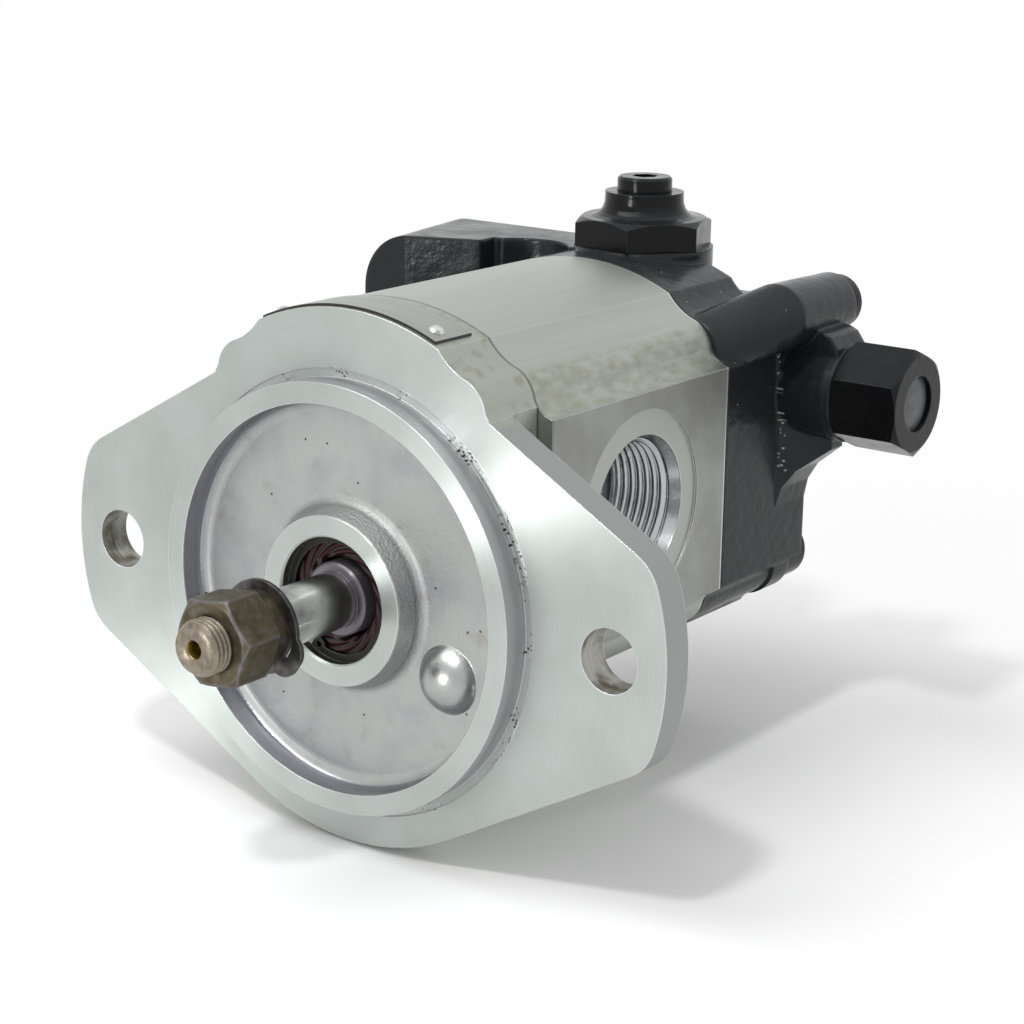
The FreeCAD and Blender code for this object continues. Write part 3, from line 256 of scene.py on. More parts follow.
def mottle(tree, place, size, low=0.35, high=0.65, detail=3.0, stretch=(1, 1, 1)):
    """Soft patches from 0 to 1, about size millimetres across."""
    scaled = add_node(tree, "ShaderNodeVectorMath", {0: place, 1: Vector(stretch) / size},
                      operation="MULTIPLY")
    noise = add_node(tree, "ShaderNodeTexNoise", {"Vector": scaled, "Scale": 1.0, "Detail": detail})
    return add_node(tree, "ShaderNodeMapRange", {"Value": noise, "From Min": low, "From Max": high})


def specks(tree, place, spacing, radius, share, flat=False):
    """Scattered round specks: 1 inside a speck. share is the part of the cells that hold one."""
    cells = add_node(tree, "ShaderNodeTexVoronoi", {"Vector": place, "Scale": 1 / spacing},
                     voronoi_dimensions="2D" if flat else "3D")
    dot = ramp(tree, cells, radius / spacing, 0.5 * radius / spacing)
    chosen = add_node(tree, "ShaderNodeMath", {0: cells.outputs["Color"], 1: 1 - share},
                      operation="GREATER_THAN")
    return overlap(tree, dot, chosen)


def ring_marks(tree, radius, spacing):
    """Uneven rings that a facing tool leaves, about spacing millimetres apart."""
    turns = overlap(tree, radius, 1 / spacing)
    return add_node(tree, "ShaderNodeTexNoise", {"W": turns, "Scale": 1.0, "Detail": 2.0},
                    noise_dimensions="1D")


def surface_facing(tree, direction):
    """Cosine between the surface and a direction."""
    normal = add_node(tree, "ShaderNodeNewGeometry").outputs["Normal"]
    return add_node(tree, "ShaderNodeVectorMath", {0: normal, 1: direction},
                    operation="DOT_PRODUCT").outputs["Value"]


def sideways(tree, axis):
    """0 on faces square to the axis and 1 on faces along it."""
    size = add_node(tree, "ShaderNodeMath", {0: surface_facing(tree, axis)}, operation="ABSOLUTE")
    return ramp(tree, size, 0.9, 0.6)


# the edge mask lightens edges both as rubbed or burnished metal and as a painted highlight
def worn_and_lit_edges(tree, width):
    """The rounded normal, and 1 along edges, from how far that normal leaves the true one."""
    rounded = add_node(tree, "ShaderNodeBevel", {"Radius": width}, samples=4)
    normal = add_node(tree, "ShaderNodeNewGeometry").outputs["Normal"]
    agree = add_node(tree, "ShaderNodeVectorMath", {0: rounded, 1: normal}, operation="DOT_PRODUCT")
    return rounded, ramp(tree, agree.outputs["Value"], 0.99, 0.85)


def away_from_axis(tree, place):
    """Unit vector away from the pump's Y axis."""
    flat = add_node(tree, "ShaderNodeVectorMath", {0: place, 1: (1, 0, 1)}, operation="MULTIPLY")
    return add_node(tree, "ShaderNodeVectorMath", {0: flat}, operation="NORMALIZE")


def cover_aluminium(colours, sizes):
    """Die-cast aluminium, face-turned: satin rings outside, a dull pitted floor inside the recess."""
    material, tree = blank_material("turned_die_cast_aluminium")
    place = millimetres(tree)
    parts = add_node(tree, "ShaderNodeSeparateXYZ", {0: place}).outputs
    along = parts["Y"]
    across = add_node(tree, "ShaderNodeMath", {0: parts["X"]}, operation="ABSOLUTE")
    mirrored = add_node(tree, "ShaderNodeCombineXYZ", {"X": across, "Y": along, "Z": parts["Z"]})
    front = add_node(tree, "ShaderNodeCombineXYZ", {"X": parts["X"], "Y": parts["Z"]})
    radius = distance_from(tree, place, (0, 0, 0), (1, 0, 1))
    from_hole = distance_from(tree, mirrored, (BOLT_HOLE_X, 0, 0), (1, 0, 1))
    from_dome = distance_from(tree, mirrored, DOME_PLACE, (1, 0, 1))

    along_axis = sideways(tree, (0, 1, 0))
    side = overlap(tree, along_axis, ramp(tree, along, 0.1, 0.3))
    cast = overlap(tree, band(tree, radius, BOSS_RADIUS + 0.2, RECESS_RADIUS - 0.2, 0.3),
                   ramp(tree, along, PILOT_FRONT_Y + 0.5, PILOT_FRONT_Y + 0.9))
    # painted shade: the recess wall is drawn darker and lilac
    wall = overlap(tree, band(tree, radius, RECESS_RADIUS - 0.6, RECESS_RADIUS + 0.1, 0.2),
                   ramp(tree, along, PILOT_FRONT_Y + 0.2, PILOT_FRONT_Y + 0.5))
    dome = overlap(tree, ramp(tree, from_dome, DOME_RADIUS + 1, DOME_RADIUS), cast)
    fillet = overlap(tree, cast, ramp(tree, radius, BOSS_RADIUS + 5, BOSS_RADIUS + 1))
    # painted shade: the pilot's turned side wall is tinted darker and lilac
    pilot_side = overlap(tree, along_axis, ramp(tree, along, 0.2, 0.0),
                         band(tree, radius, PILOT_RADIUS - 0.3, PILOT_RADIUS + 0.3, 0.1))
    root = overlap(tree, band(tree, radius, PILOT_RADIUS, PILOT_RADIUS + 2.2, 0.3),
                   band(tree, along, -0.4, 3.0, 0.2))
    torn = overlap(tree, root, mottle(tree, place, 14, 0.5, 0.62))
    neck = overlap(tree, side, ramp(tree, across, NECK_X + 1, NECK_X - 1))
    hole_wall = overlap(tree, along_axis,
                        ramp(tree, from_hole, BOLT_HOLE_RADIUS + 0.5, BOLT_HOLE_RADIUS + 0.2))
    joint = overlap(tree, side, ramp(tree, along, FRONT_JOINT_Y - 0.5, FRONT_JOINT_Y - 0.3), 0.8)
    unturned = add_node(tree, "ShaderNodeMath", {0: cast, 1: side}, operation="MAXIMUM")
    rounded, edge = worn_and_lit_edges(tree, sizes.machined_edge)

    # gas pores of 0.4 mm in the cast floor, and closer ones where the tool tore the pilot's root
    pits = overlap(tree, specks(tree, front, 7.0, 0.38, 0.28, True), cast)
    root_pits = overlap(tree, specks(tree, front, 0.9, 0.4, 0.42, True), torn)
    dark = add_node(tree, "ShaderNodeMath", {0: pits, 1: root_pits}, operation="MAXIMUM")
    # the facing feed is nearer 0.15 mm, and the cast grain 0.2 mm: both are drawn as coarse as shows
    rings = ring_marks(tree, radius, 0.5)
    grain = mottle(tree, place, 0.7, 0.2, 0.8)
    floor = coats(tree, colours.cast_aluminium, (mottle(tree, place, 13, 0.45, 0.75), linear("#979A9B")),
                  (overlap(tree, mottle(tree, place, 7, 0.6, 0.75), 0.5), linear("#8F8B7F")))
    stained = coats(tree, linear("#A6ABA2"), (mottle(tree, place, 4, 0.5, 0.75), linear("#918F7C")))
    drilled = coats(tree, linear("#B4B4AE"), (mottle(tree, place, 5, 0.45, 0.7), linear("#6A6355")))
    # the side walls are darker than their cast tone as painted shade, and the near-white edge coat is a
    # painted highlight on burnished edges
    colour = coats(tree, colours.turned_aluminium,
                   (mottle(tree, place, 22, 0.4, 0.62), linear("#B3BAB6")),
                   (overlap(tree, ramp(tree, rings, 0.55, 0.8), 0.25), linear("#CDD2D0")),
                   (cast, floor), (pilot_side, linear("#B9B9BD")), (wall, linear("#9C9AA3")),
                   (side, colours.flange_side), (neck, stained), (hole_wall, drilled),
                   (overlap(tree, edge, 0.85), linear("#F0F1F1")), (joint, linear("#4A4844")),
                   (dark, linear("#3A3833")))
    bump = relief(tree, rounded, (rings, 0.012, 0.5), (overlap(tree, grain, cast), 0.03, 1),
                  (overlap(tree, grain, fillet), 0.09, 1), (overlap(tree, grain, torn), 0.18, 1),
                  (overlap(tree, mottle(tree, place, 1.6, 0.3, 0.7), side), 0.025, 1),
                  (overlap(tree, ring_marks(tree, along, 0.7), hole_wall), 0.4, 1))
    # turned rings run round the axis, so a highlight is drawn out away from it
    outward = away_from_axis(tree, add_node(tree, "ShaderNodeTexCoord").outputs["Object"])
    return finish(material, {
        "Base Color": colour, "Metallic": 1.0, "Normal": bump, "Tangent": outward,
        "Roughness": grades(tree, 0.40, (cast, 0.52), (side, 0.5), (wall, 0.22), (dome, 0.3)),
        "Anisotropic": grades(tree, 0.9, (unturned, 0.0))})


def housing_aluminium(colours, sizes):
    """Extruded aluminium: faint drawing streaks along the pump, a milled pad with painted shade, dried oil
    above its edge, painted highlights on its edges.
    """
    material, tree = blank_material("extruded_aluminium")
    place = millimetres(tree)
    parts = add_node(tree, "ShaderNodeSeparateXYZ", {0: place}).outputs
    across, along, up = parts["X"], parts["Y"], parts["Z"]
    inlet = distance_from(tree, place, (0, INLET_Y, MID_Z), (0, 1, 1))

    pad = ramp(tree, across, PAD_X - 0.3, PAD_X - 0.1)
    spot = overlap(tree, ramp(tree, inlet, INLET_SPOT_RADIUS + 0.1, INLET_SPOT_RADIUS - 0.1),
                   band(tree, across, PAD_X - 0.8, PAD_X - 0.5, 0.1))
    bore = overlap(tree, ramp(tree, inlet, INLET_RADIUS + 1.4, INLET_RADIUS + 1.2),
                   ramp(tree, across, 20, 22))
    near_edge = overlap(tree, band(tree, across, PAD_X - 7.8, PAD_X - 0.3, 1.5),
                        ramp(tree, up, PAD_TOP_Z - 0.5, PAD_TOP_Z + 0.6))
    along_pump = sideways(tree, (0, 1, 0))
    # painted highlight: a bright band on the outside along the rear joint; the front joint is a real dark
    # line
    rear_edge = overlap(tree, along_pump, ramp(tree, along, REAR_JOINT_Y - 0.6, REAR_JOINT_Y - 0.4))
    front_edge = overlap(tree, along_pump, ramp(tree, along, FRONT_JOINT_Y + 0.5, FRONT_JOINT_Y + 0.3), 0.6)
    rounded, edge = worn_and_lit_edges(tree, sizes.machined_edge)
    bright = add_node(tree, "ShaderNodeMath", {0: edge, 1: rear_edge}, operation="MAXIMUM")

    # die lines about 1.4 mm and 8 mm apart that run the length of the extrusion
    streaks = mottle(tree, place, 1.0, 0.3, 0.7, 2.0, (0.7, 0.012, 0.7))
    wide = mottle(tree, place, 1.0, 0.35, 0.7, 3.0, (0.12, 0.02, 0.12))
    stain = overlap(tree, near_edge, mottle(tree, place, 2.4, 0.36, 0.66, 6.0, (1, 0.5, 1)), 0.6)
    # the pad's milled grey, darker still as painted shade on this side face
    milled = coats(tree, colours.milled_pad, (mottle(tree, place, 12, 0.4, 0.65), linear("#8D8E89")))
    grime = coats(tree, linear("#B4B6B9"), (ramp(tree, up, MID_Z - 11, MID_Z - 16), linear("#6E6353")))
    # the light coat on edges and the rear joint is a painted highlight
    colour = coats(tree, colours.extruded_aluminium, (overlap(tree, streaks, 0.4), linear("#9EA49C")),
                   (overlap(tree, wide, 0.35), linear("#B5BAB4")), (stain, colours.oil_stain),
                   (pad, milled), (spot, linear("#A7A9A5")), (bore, grime),
                   (overlap(tree, bright, 0.7), linear("#DADCDA")), (front_edge, linear("#5B5952")))
    bump = relief(tree, rounded, (streaks, 0.03, 0.6),
                  (overlap(tree, ring_marks(tree, inlet, 0.4), spot), 0.05, 0.6),
                  (overlap(tree, mottle(tree, place, 0.6, 0.2, 0.8), near_edge), 0.06, 1))
    return finish(material, {"Base Color": colour, "Metallic": 1.0, "Normal": bump,
                             "Roughness": grades(tree, 0.42, (pad, 0.5), (bore, 0.22))})


def dust_and_top_light(tree, place, reach):
    """1 on faces that look up or out to the cap's side, broken up in patches: settled dust, and painted light
    on faces that turn to the lamps.
    """
    open_face = ramp(tree, surface_facing(tree, (0.45, 0, 0.89)), 0.35, 1.0)
    return overlap(tree, open_face, grades(tree, 0.55 * reach, (mottle(tree, place, 9, 0.35, 0.7), reach)))


def enamelled_iron(colours, sizes):
    """Gloss black enamel brushed over sand-cast iron: an even shine on a slightly lumpy skin, dusty and
    painted lighter on its upward and cap-side faces.
    """
    material, tree = blank_material("black_enamel_on_cast_iron")
    place = millimetres(tree)
    parts = add_node(tree, "ShaderNodeSeparateXYZ", {0: place}).outputs
    side = add_node(tree, "ShaderNodeCombineXYZ", {"X": parts["Y"], "Y": parts["Z"]})
    lean = add_node(tree, "ShaderNodeMath", {0: parts["Z"], 1: BEAD_LEAN, 2: parts["Y"]},
                    operation="MULTIPLY_ADD")
    bead = overlap(tree, band(tree, lean, *BEAD_Y, 0.3), band(tree, parts["X"], PAD_X + 0.3, PAD_X + 2, 0.2),
                   band(tree, parts["Z"], *BEAD_Z, 1))
    chips = overlap(tree, specks(tree, side, 1.1, 0.35, 0.5, True), bead)
    stray = specks(tree, place, 4.0, 0.3, 0.25)
    chipped = add_node(tree, "ShaderNodeMath", {0: chips, 1: stray}, operation="MAXIMUM")
    # upward and cap-side faces lighter: settled dust and painted light
    colour = coats(tree, colours.cast_enamel, (dust_and_top_light(tree, place, 0.8), colours.dust_and_painted_light),
                   (chipped, colours.chipped_edge))
    # moulding sand is nearer 0.25 mm: its grain is drawn 0.7 mm wide
    rounded = add_node(tree, "ShaderNodeBevel", {"Radius": sizes.cast_edge}, samples=8)
    bump = relief(tree, rounded, (mottle(tree, place, 3.5, 0.3, 0.7), 0.12, 0.7),
                  (mottle(tree, place, 0.7, 0.25, 0.75), 0.015, 0.6))
    return finish(material, {"Base Color": colour, "IOR": 1.5, "Specular IOR Level": 0.22, "Normal": bump,
                             "Roughness": grades(tree, 0.20, (mottle(tree, place, 9, 0.4, 0.7), 0.34))})


def enamelled_steel(colours):
    """Gloss black enamel over turned and hexagonal steel: clean dark flats, slightly soft edges with a
    painted highlight.
    """
    material, tree = blank_material("black_enamel_on_steel")
    place = millimetres(tree)
    rounded, edge = worn_and_lit_edges(tree, 0.45 * MM)
    # painted light: upward faces lighter as dust and light, edges lightened as a painted highlight
    colour = coats(tree, colours.black_enamel, (dust_and_top_light(tree, place, 0.35), colours.dust_and_painted_light),
                   (overlap(tree, edge, 0.6), linear("#3A3C3D")),
                   (specks(tree, place, 6.0, 0.28, 0.1), colours.chipped_edge))
    bump = relief(tree, rounded, (mottle(tree, place, 2.0, 0.3, 0.7), 0.04, 0.6))
    return finish(material, {"Base Color": colour, "IOR": 1.5, "Specular IOR Level": 0.18, "Normal": bump,
                             "Roughness": grades(tree, 0.14, (mottle(tree, place, 6, 0.4, 0.7), 0.26))})


def ground_shaft_steel(colours, sizes):
    """Hardened carbon steel, ground between centres: bright, with hair-fine rings round the shaft."""
    material, tree = blank_material("ground_steel")
    place = millimetres(tree)
    along = add_node(tree, "ShaderNodeSeparateXYZ", {0: place}).outputs["Y"]
    # painted shade: the journal inside the seal bore is drawn darker and lilac; its duller gloss is its own
    journal = ramp(tree, along, JOURNAL_Y - 0.2, JOURNAL_Y + 0.2)
    colour = coats(tree, colours.ground_steel, (mottle(tree, place, 4, 0.5, 0.75), linear("#9A9A98")),
                   (journal, linear("#77747A")))
    # grinding marks are microns apart: they are drawn 0.25 mm apart, in the gloss alone
    rough = grades(tree, 0.18, (ring_marks(tree, along, 0.25), 0.22), (journal, 0.42))
    # the rings run round the shaft, so a highlight is drawn out along it
    lengthways = add_node(tree, "ShaderNodeCombineXYZ", {"Y": 1.0})
    rounded = add_node(tree, "ShaderNodeBevel", {"Radius": sizes.machined_edge}, samples=4)
    return finish(material, {"Base Color": colour, "Metallic": 1.0, "Roughness": rough, "Anisotropic": 0.8,
                             "Tangent": lengthways, "Normal": rounded})


def stud_steel(colours):
    """Rolled steel thread, lightly oxidised: grey-brown crests, dark roots, old grease in its centre hole."""
    material, tree = blank_material("rolled_thread_steel")
    place = millimetres(tree)
    along = add_node(tree, "ShaderNodeSeparateXYZ", {0: place}).outputs["Y"]
    radius = distance_from(tree, place, (0, 0, 0), (1, 0, 1))
    roots = overlap(tree, ramp(tree, radius, THREAD_RADIUS - 0.2, THREAD_RADIUS - 0.6),
                    ramp(tree, along, SHAFT_TIP_Y + 0.8, SHAFT_TIP_Y + 1.2), 0.8)
    hole = ramp(tree, radius, CENTRE_HOLE_RADIUS + 0.4, CENTRE_HOLE_RADIUS)
    colour = coats(tree, colours.stud_steel, (mottle(tree, place, 1.8, 0.4, 0.7), linear("#6F685C")),
                   (roots, linear("#4A443B")), (hole, colours.brass_dirt))
    rounded = add_node(tree, "ShaderNodeBevel", {"Radius": 0.2 * MM}, samples=4)
    bump = relief(tree, rounded, (mottle(tree, place, 0.5, 0.2, 0.8), 0.03, 1))
    return finish(material, {"Base Color": colour, "Metallic": 0.85, "Normal": bump,
                             "Roughness": grades(tree, 0.36, (hole, 0.25))})


def olive_zinc(colours):
    """Zinc plate with olive chromate, handled: brown-green flats and rubbed grey-lilac edges that also carry
    a painted highlight.
    """
    material, tree = blank_material("olive_chromated_zinc")
    place = millimetres(tree)
    rounded, edge = worn_and_lit_edges(tree, 1.2 * MM)
    # edges lightened both as rubbed zinc and as a painted highlight
    worn = overlap(tree, edge, grades(tree, 0.5, (mottle(tree, place, 1.2, 0.35, 0.6), 1.0)))
    colour = coats(tree, colours.zinc_olive, (mottle(tree, place, 3.5, 0.42, 0.66), linear("#4C4634")),
                   (overlap(tree, mottle(tree, place, 2.6, 0.5, 0.75), 0.3), colours.zinc_rubbed_and_lit),
                   (worn, colours.zinc_rubbed_and_lit))
    bump = relief(tree, rounded, (mottle(tree, place, 0.6, 0.2, 0.8), 0.03, 0.7))
    return finish(material, {"Base Color": colour, "Metallic": 0.9, "Normal": bump,
                             "Roughness": grades(tree, 0.34, (mottle(tree, place, 2.2), 0.5))})


def oiled_steel(name, base):
    """Hardened spring steel left dark from heat treatment and oiled: a soft metallic shine."""
    material, tree = blank_material(name)
    place = millimetres(tree)
    rounded, edge = worn_and_lit_edges(tree, 0.25 * MM)
    # edges lightened both as rubbed steel and as a painted highlight
    colour = coats(tree, base, (mottle(tree, place, 2.5, 0.4, 0.8), linear("#2B2927")),
                   (overlap(tree, edge, 0.5), linear("#8A8784")))
    bump = relief(tree, rounded, (mottle(tree, place, 0.4, 0.2, 0.8), 0.01, 1))
    return finish(material, {"Base Color": colour, "Metallic": 0.9, "Normal": bump,
                             "Roughness": grades(tree, 0.28, (mottle(tree, place, 1.4), 0.42))})


def seal_rubber(colours):
    """Moulded fluorocarbon rubber: oily dark maroon with pumping ribs that sweep round the lip, their crests
    painted lighter and their grooves darker as light and shade.
    """
    material, tree = blank_material("moulded_fluorocarbon_rubber")
    place = millimetres(tree)
    parts = add_node(tree, "ShaderNodeSeparateXYZ", {0: place}).outputs
    turn = add_node(tree, "ShaderNodeMath", {0: parts["Z"], 1: parts["X"]}, operation="ARCTAN2")
    radius = distance_from(tree, place, (0, 0, 0), (1, 0, 1))
    around = overlap(tree, turn, SEAL_RIBS / math.tau)
    swept = add_node(tree, "ShaderNodeMath", {0: radius, 1: SEAL_RIB_LEAN, 2: around},
                     operation="MULTIPLY_ADD")
    rib = add_node(tree, "ShaderNodeMath", {0: swept, 1: 0.5}, operation="PINGPONG")
    crest = ramp(tree, rib, 0.1, 0.48)
    # painted light and shade: rib crests drawn lighter, the grooves between them darker
    colour = coats(tree, colours.seal_maroon, (ramp(tree, crest, 0.6, 0.0), linear("#120A0B")),
                   (overlap(tree, crest, 0.5), linear("#532C29")))
    rounded = add_node(tree, "ShaderNodeBevel", {"Radius": 0.15 * MM}, samples=4)
    bump = relief(tree, rounded, (crest, 0.5, 1))
    return finish(material, {"Base Color": colour, "IOR": 1.47, "Normal": bump,
                             "Roughness": grades(tree, 0.3, (mottle(tree, place, 1.5), 0.45))})


def moulded_rubber(colours):
    """Moulded nitrile rubber: matt black with a faint bloom."""
    material, tree = blank_material("moulded_nitrile_rubber")
    place = millimetres(tree)
    colour = coats(tree, colours.black_rubber, (mottle(tree, place, 2.0, 0.5, 0.8), linear("#232425")))
    bump = add_node(tree, "ShaderNodeBump", {"Height": mottle(tree, place, 0.3, 0.2, 0.8),
                                             "Distance": 0.01 * MM})
    return finish(material, {"Base Color": colour, "Roughness": 0.55, "IOR": 1.52, "Normal": bump})


def bare_plate(colours):
    """Rolled aluminium sheet, bare: fine rolling lines, and its edge faces painted near black as the shade of
    the gap under it.
    """
    material, tree = blank_material("rolled_aluminium_sheet")
    place = millimetres(tree)
    lines = mottle(tree, place, 1.0, 0.3, 0.7, 2.0, (0.05, 1.6, 0.05))
    from_crown = add_node(tree, "ShaderNodeVectorMath", {0: place, 1: (0, 0, CROWN_CENTRE_Z)},
                          operation="SUBTRACT")
    wall = sideways(tree, away_from_axis(tree, from_crown))
    # painted shade: the plate's edge faces are near black and not metallic, as the gap under it
    colour = coats(tree, colours.plate, (overlap(tree, lines, 0.6), linear("#8E918C")),
                   (wall, linear("#121213")))
    normal = add_node(tree, "ShaderNodeNewGeometry").outputs["Normal"]
    return finish(material, {"Base Color": colour, "Metallic": ramp(tree, wall, 1.0, 0.0),
                             "Roughness": grades(tree, 0.34, (lines, 0.44)),
                             "Normal": relief(tree, normal, (lines, 0.01, 0.5))})


def bright_rivet():
    """Cold-headed aluminium: a bright burnished dome."""
    material, tree = blank_material("headed_aluminium")
    place = millimetres(tree)
    colour = coats(tree, linear("#DADBDA"), (mottle(tree, place, 0.9, 0.45, 0.7), linear("#9C9D9A")))
    bump = add_node(tree, "ShaderNodeBump", {"Height": mottle(tree, place, 0.5, 0.2, 0.8),
                                             "Distance": 0.02 * MM})
    return finish(material, {"Base Color": colour, "Metallic": 1.0, "Roughness": 0.18, "Normal": bump})


def inner_metal(name, colour, oiled_rough, dry_rough):
    """Oiled inner metal: turned rings along the pump and a film of oil in patches."""
    material, tree = blank_material(name)
    place = millimetres(tree)
    along = add_node(tree, "ShaderNodeSeparateXYZ", {0: place}).outputs["Y"]
    oil = mottle(tree, place, 5.0, 0.45, 0.7)
    shade = add_node(tree, "ShaderNodeHueSaturation", {"Value": 0.8, "Color": colour})
    bump = add_node(tree, "ShaderNodeBump", {"Height": ring_marks(tree, along, 0.3), "Distance": 0.01 * MM})
    return finish(material, {"Base Color": coats(tree, colour, (oil, shade.outputs[0])), "Metallic": 1.0,
                             "Roughness": grades(tree, dry_rough, (oil, oiled_rough)), "Normal": bump})


def disc_enamel(colours):
    """Dull grey primer on a pressed steel disc."""
    material, tree = blank_material("grey_primer_on_steel")
    place = millimetres(tree)
    colour = coats(tree, colours.disc_grey, (mottle(tree, place, 2.0, 0.4, 0.7), linear("#3C4045")))
    bump = add_node(tree, "ShaderNodeBump", {"Height": mottle(tree, place, 0.4, 0.2, 0.8),
                                             "Distance": 0.03 * MM})
    return finish(material, {"Base Color": colour, "Roughness": 0.42, "IOR": 1.5, "Normal": bump})


def dress(node_names, material):
    """Gives carried-over nodes one finish."""
    for name in node_names:
        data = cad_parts[name].data
        data.materials.clear()
        data.materials.append(material)


def new_piece(name, data, body, material, replaced=()):
    """Links a finished mesh, gives it its material, puts it on its body and hides the nodes that it stands
    for.
    """
    piece = bpy.data.objects.new(name, data)
    bpy.context.scene.collection.objects.link(piece)
    data.materials.clear()
    data.materials.append(material)
    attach(piece, body)
    if replaced:
        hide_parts(*replaced)
    return piece


def welded_mesh(node_name):
    """The node's triangles as one connected mesh in a new bmesh."""
    welded = bmesh.new()
    welded.from_mesh(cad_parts[node_name].data)
    bmesh.ops.remove_doubles(welded, verts=welded.verts, dist=1e-6)
    return welded


def plain_mesh(name, shape, sharp_angle=None):
    """A mesh with no leftover layers, shaded smooth below the sharp angle."""
    shape.verts.index_update()
    places = [v.co.copy() for v in shape.verts]
    faces = [[v.index for v in f.verts] for f in shape.faces]
    shape.free()
    data = bpy.data.meshes.new(name)
    data.from_pydata(places, [], faces)
    data.shade_smooth()
    if sharp_angle is not None:
        data.set_sharp_from_angle(angle=math.radians(sharp_angle))
    return data


def turned_mesh(name, profile, sides):
    """A closed turned mesh along local Z from (radius, height) points; radius 0 makes a pole."""
    shape = bmesh.new()
    rings = []
    for radius, height in profile:
        angles = [math.tau * k / sides for k in range(sides if radius else 1)]
        rings.append([shape.verts.new((radius * math.cos(a), radius * math.sin(a), height)) for a in angles])
    closed = profile[0][0] > 0
    pairs = list(zip(rings, rings[1:])) + ([(rings[-1], rings[0])] if closed else [])
    for low, high in pairs:
        for k in range(sides):
            n = (k + 1) % sides
            if len(low) == 1:
                shape.faces.new((low[0], high[k], high[n]))
            elif len(high) == 1:
                shape.faces.new((low[k], high[0], low[n]))
            else:
                shape.faces.new((low[k], high[k], high[n], low[n]))
    bmesh.ops.recalc_face_normals(shape, faces=shape.faces)
    data = bpy.data.meshes.new(name)
    shape.to_mesh(data)
    shape.free()
    return data


def thread_tree():
    """Node group that cuts a single-start V thread into turned geometry along Z."""
    tree = bpy.data.node_groups.new("cut_thread", "GeometryNodeTree")
    tree.interface.new_socket("Geometry", in_out="INPUT", socket_type="NodeSocketGeometry")
    for name in ("Major Radius", "Thread Depth", "Pitch"):
        socket = tree.interface.new_socket(name, in_out="INPUT", socket_type="NodeSocketFloat")
        socket.subtype = "DISTANCE"
    tree.interface.new_socket("Finish", in_out="INPUT", socket_type="NodeSocketMaterial")
    tree.interface.new_socket("Geometry", in_out="OUTPUT", socket_type="NodeSocketGeometry")
    given = add_node(tree, "NodeGroupInput").outputs
    place = add_node(tree, "GeometryNodeInputPosition")
    parts = add_node(tree, "ShaderNodeSeparateXYZ", {0: place}).outputs
    flat = add_node(tree, "ShaderNodeVectorMath", {0: place, 1: (1, 1, 0)}, operation="MULTIPLY")
    radius = add_node(tree, "ShaderNodeVectorMath", {0: flat}, operation="LENGTH").outputs["Value"]
    turn = add_node(tree, "ShaderNodeMath", {0: parts["Y"], 1: parts["X"]}, operation="ARCTAN2")
    share = add_node(tree, "ShaderNodeMath", {0: turn, 1: math.tau}, operation="DIVIDE")
    climb = add_node(tree, "ShaderNodeMath", {0: parts["Z"], 1: given["Pitch"]}, operation="DIVIDE")
    phase = add_node(tree, "ShaderNodeMath", {0: climb, 1: share}, operation="SUBTRACT")
    wave = add_node(tree, "ShaderNodeMath", {0: phase, 1: 0.5}, operation="PINGPONG")
    # crests and roots an eighth of the pitch wide
    flank = add_node(tree, "ShaderNodeMapRange", {"Value": wave, "From Min": 0.06, "From Max": 0.44})
    cut = add_node(tree, "ShaderNodeMath", {0: flank, 1: given["Thread Depth"]}, operation="MULTIPLY")
    groove = add_node(tree, "ShaderNodeMath", {0: given["Major Radius"], 1: cut}, operation="SUBTRACT")
    kept = add_node(tree, "ShaderNodeMath", {0: radius, 1: groove}, operation="MINIMUM")
    shrink = add_node(tree, "ShaderNodeMath", {0: kept, 1: radius}, operation="DIVIDE")
    scale = add_node(tree, "ShaderNodeCombineXYZ", {"X": shrink, "Y": shrink, "Z": 1.0})
    moved = add_node(tree, "ShaderNodeVectorMath", {0: place, 1: scale}, operation="MULTIPLY")
    reach = add_node(tree, "ShaderNodeMath", {0: given["Major Radius"], 1: 1e-5}, operation="ADD")
    inside = add_node(tree, "ShaderNodeMath", {0: radius, 1: reach}, operation="LESS_THAN")
    away = add_node(tree, "ShaderNodeMath", {0: radius, 1: 1e-6}, operation="GREATER_THAN")
    chosen = add_node(tree, "ShaderNodeMath", {0: inside, 1: away}, operation="MULTIPLY")
    cut_shape = add_node(tree, "GeometryNodeSetPosition", {"Geometry": given["Geometry"], "Selection": chosen,
                                                          "Position": moved})
    whole = add_node(tree, "GeometryNodeRealizeInstances", {"Geometry": cut_shape})
    finished = add_node(tree, "GeometryNodeSetMaterial", {"Geometry": whole, "Material": given["Finish"]})
    add_node(tree, "NodeGroupOutput", {"Geometry": finished})
    return tree


def made_by_nodes(name, data, tree, values, placement):
    """Runs a node group on a mesh and returns the plain mesh that it makes, at its placement."""
    carrier = bpy.data.objects.new(name, data)
    bpy.context.scene.collection.objects.link(carrier)
    modifier = carrier.modifiers.new("rule", "NODES")
    modifier.node_group = tree
    sockets = {item.name: item.identifier for item in tree.interface.items_tree if item.in_out == "INPUT"}
    for key, value in values.items():
        modifier[sockets[key]] = value
    depsgraph = bpy.context.evaluated_depsgraph_get()
    made = bpy.data.meshes.new_from_object(carrier.evaluated_get(depsgraph))
    carrier.modifiers.remove(modifier)
    bpy.data.objects.remove(carrier)
    made.name = name
    made.transform(placement)
    made.shade_smooth()
    made.set_sharp_from_angle(angle=math.radians(50))
    return made


def steps(start, end, step):
    """Even stations from start to end, at most step apart."""
    count = math.ceil(abs(end - start) / step)
    return [start + (end - start) * k / count for k in range(count + 1)]


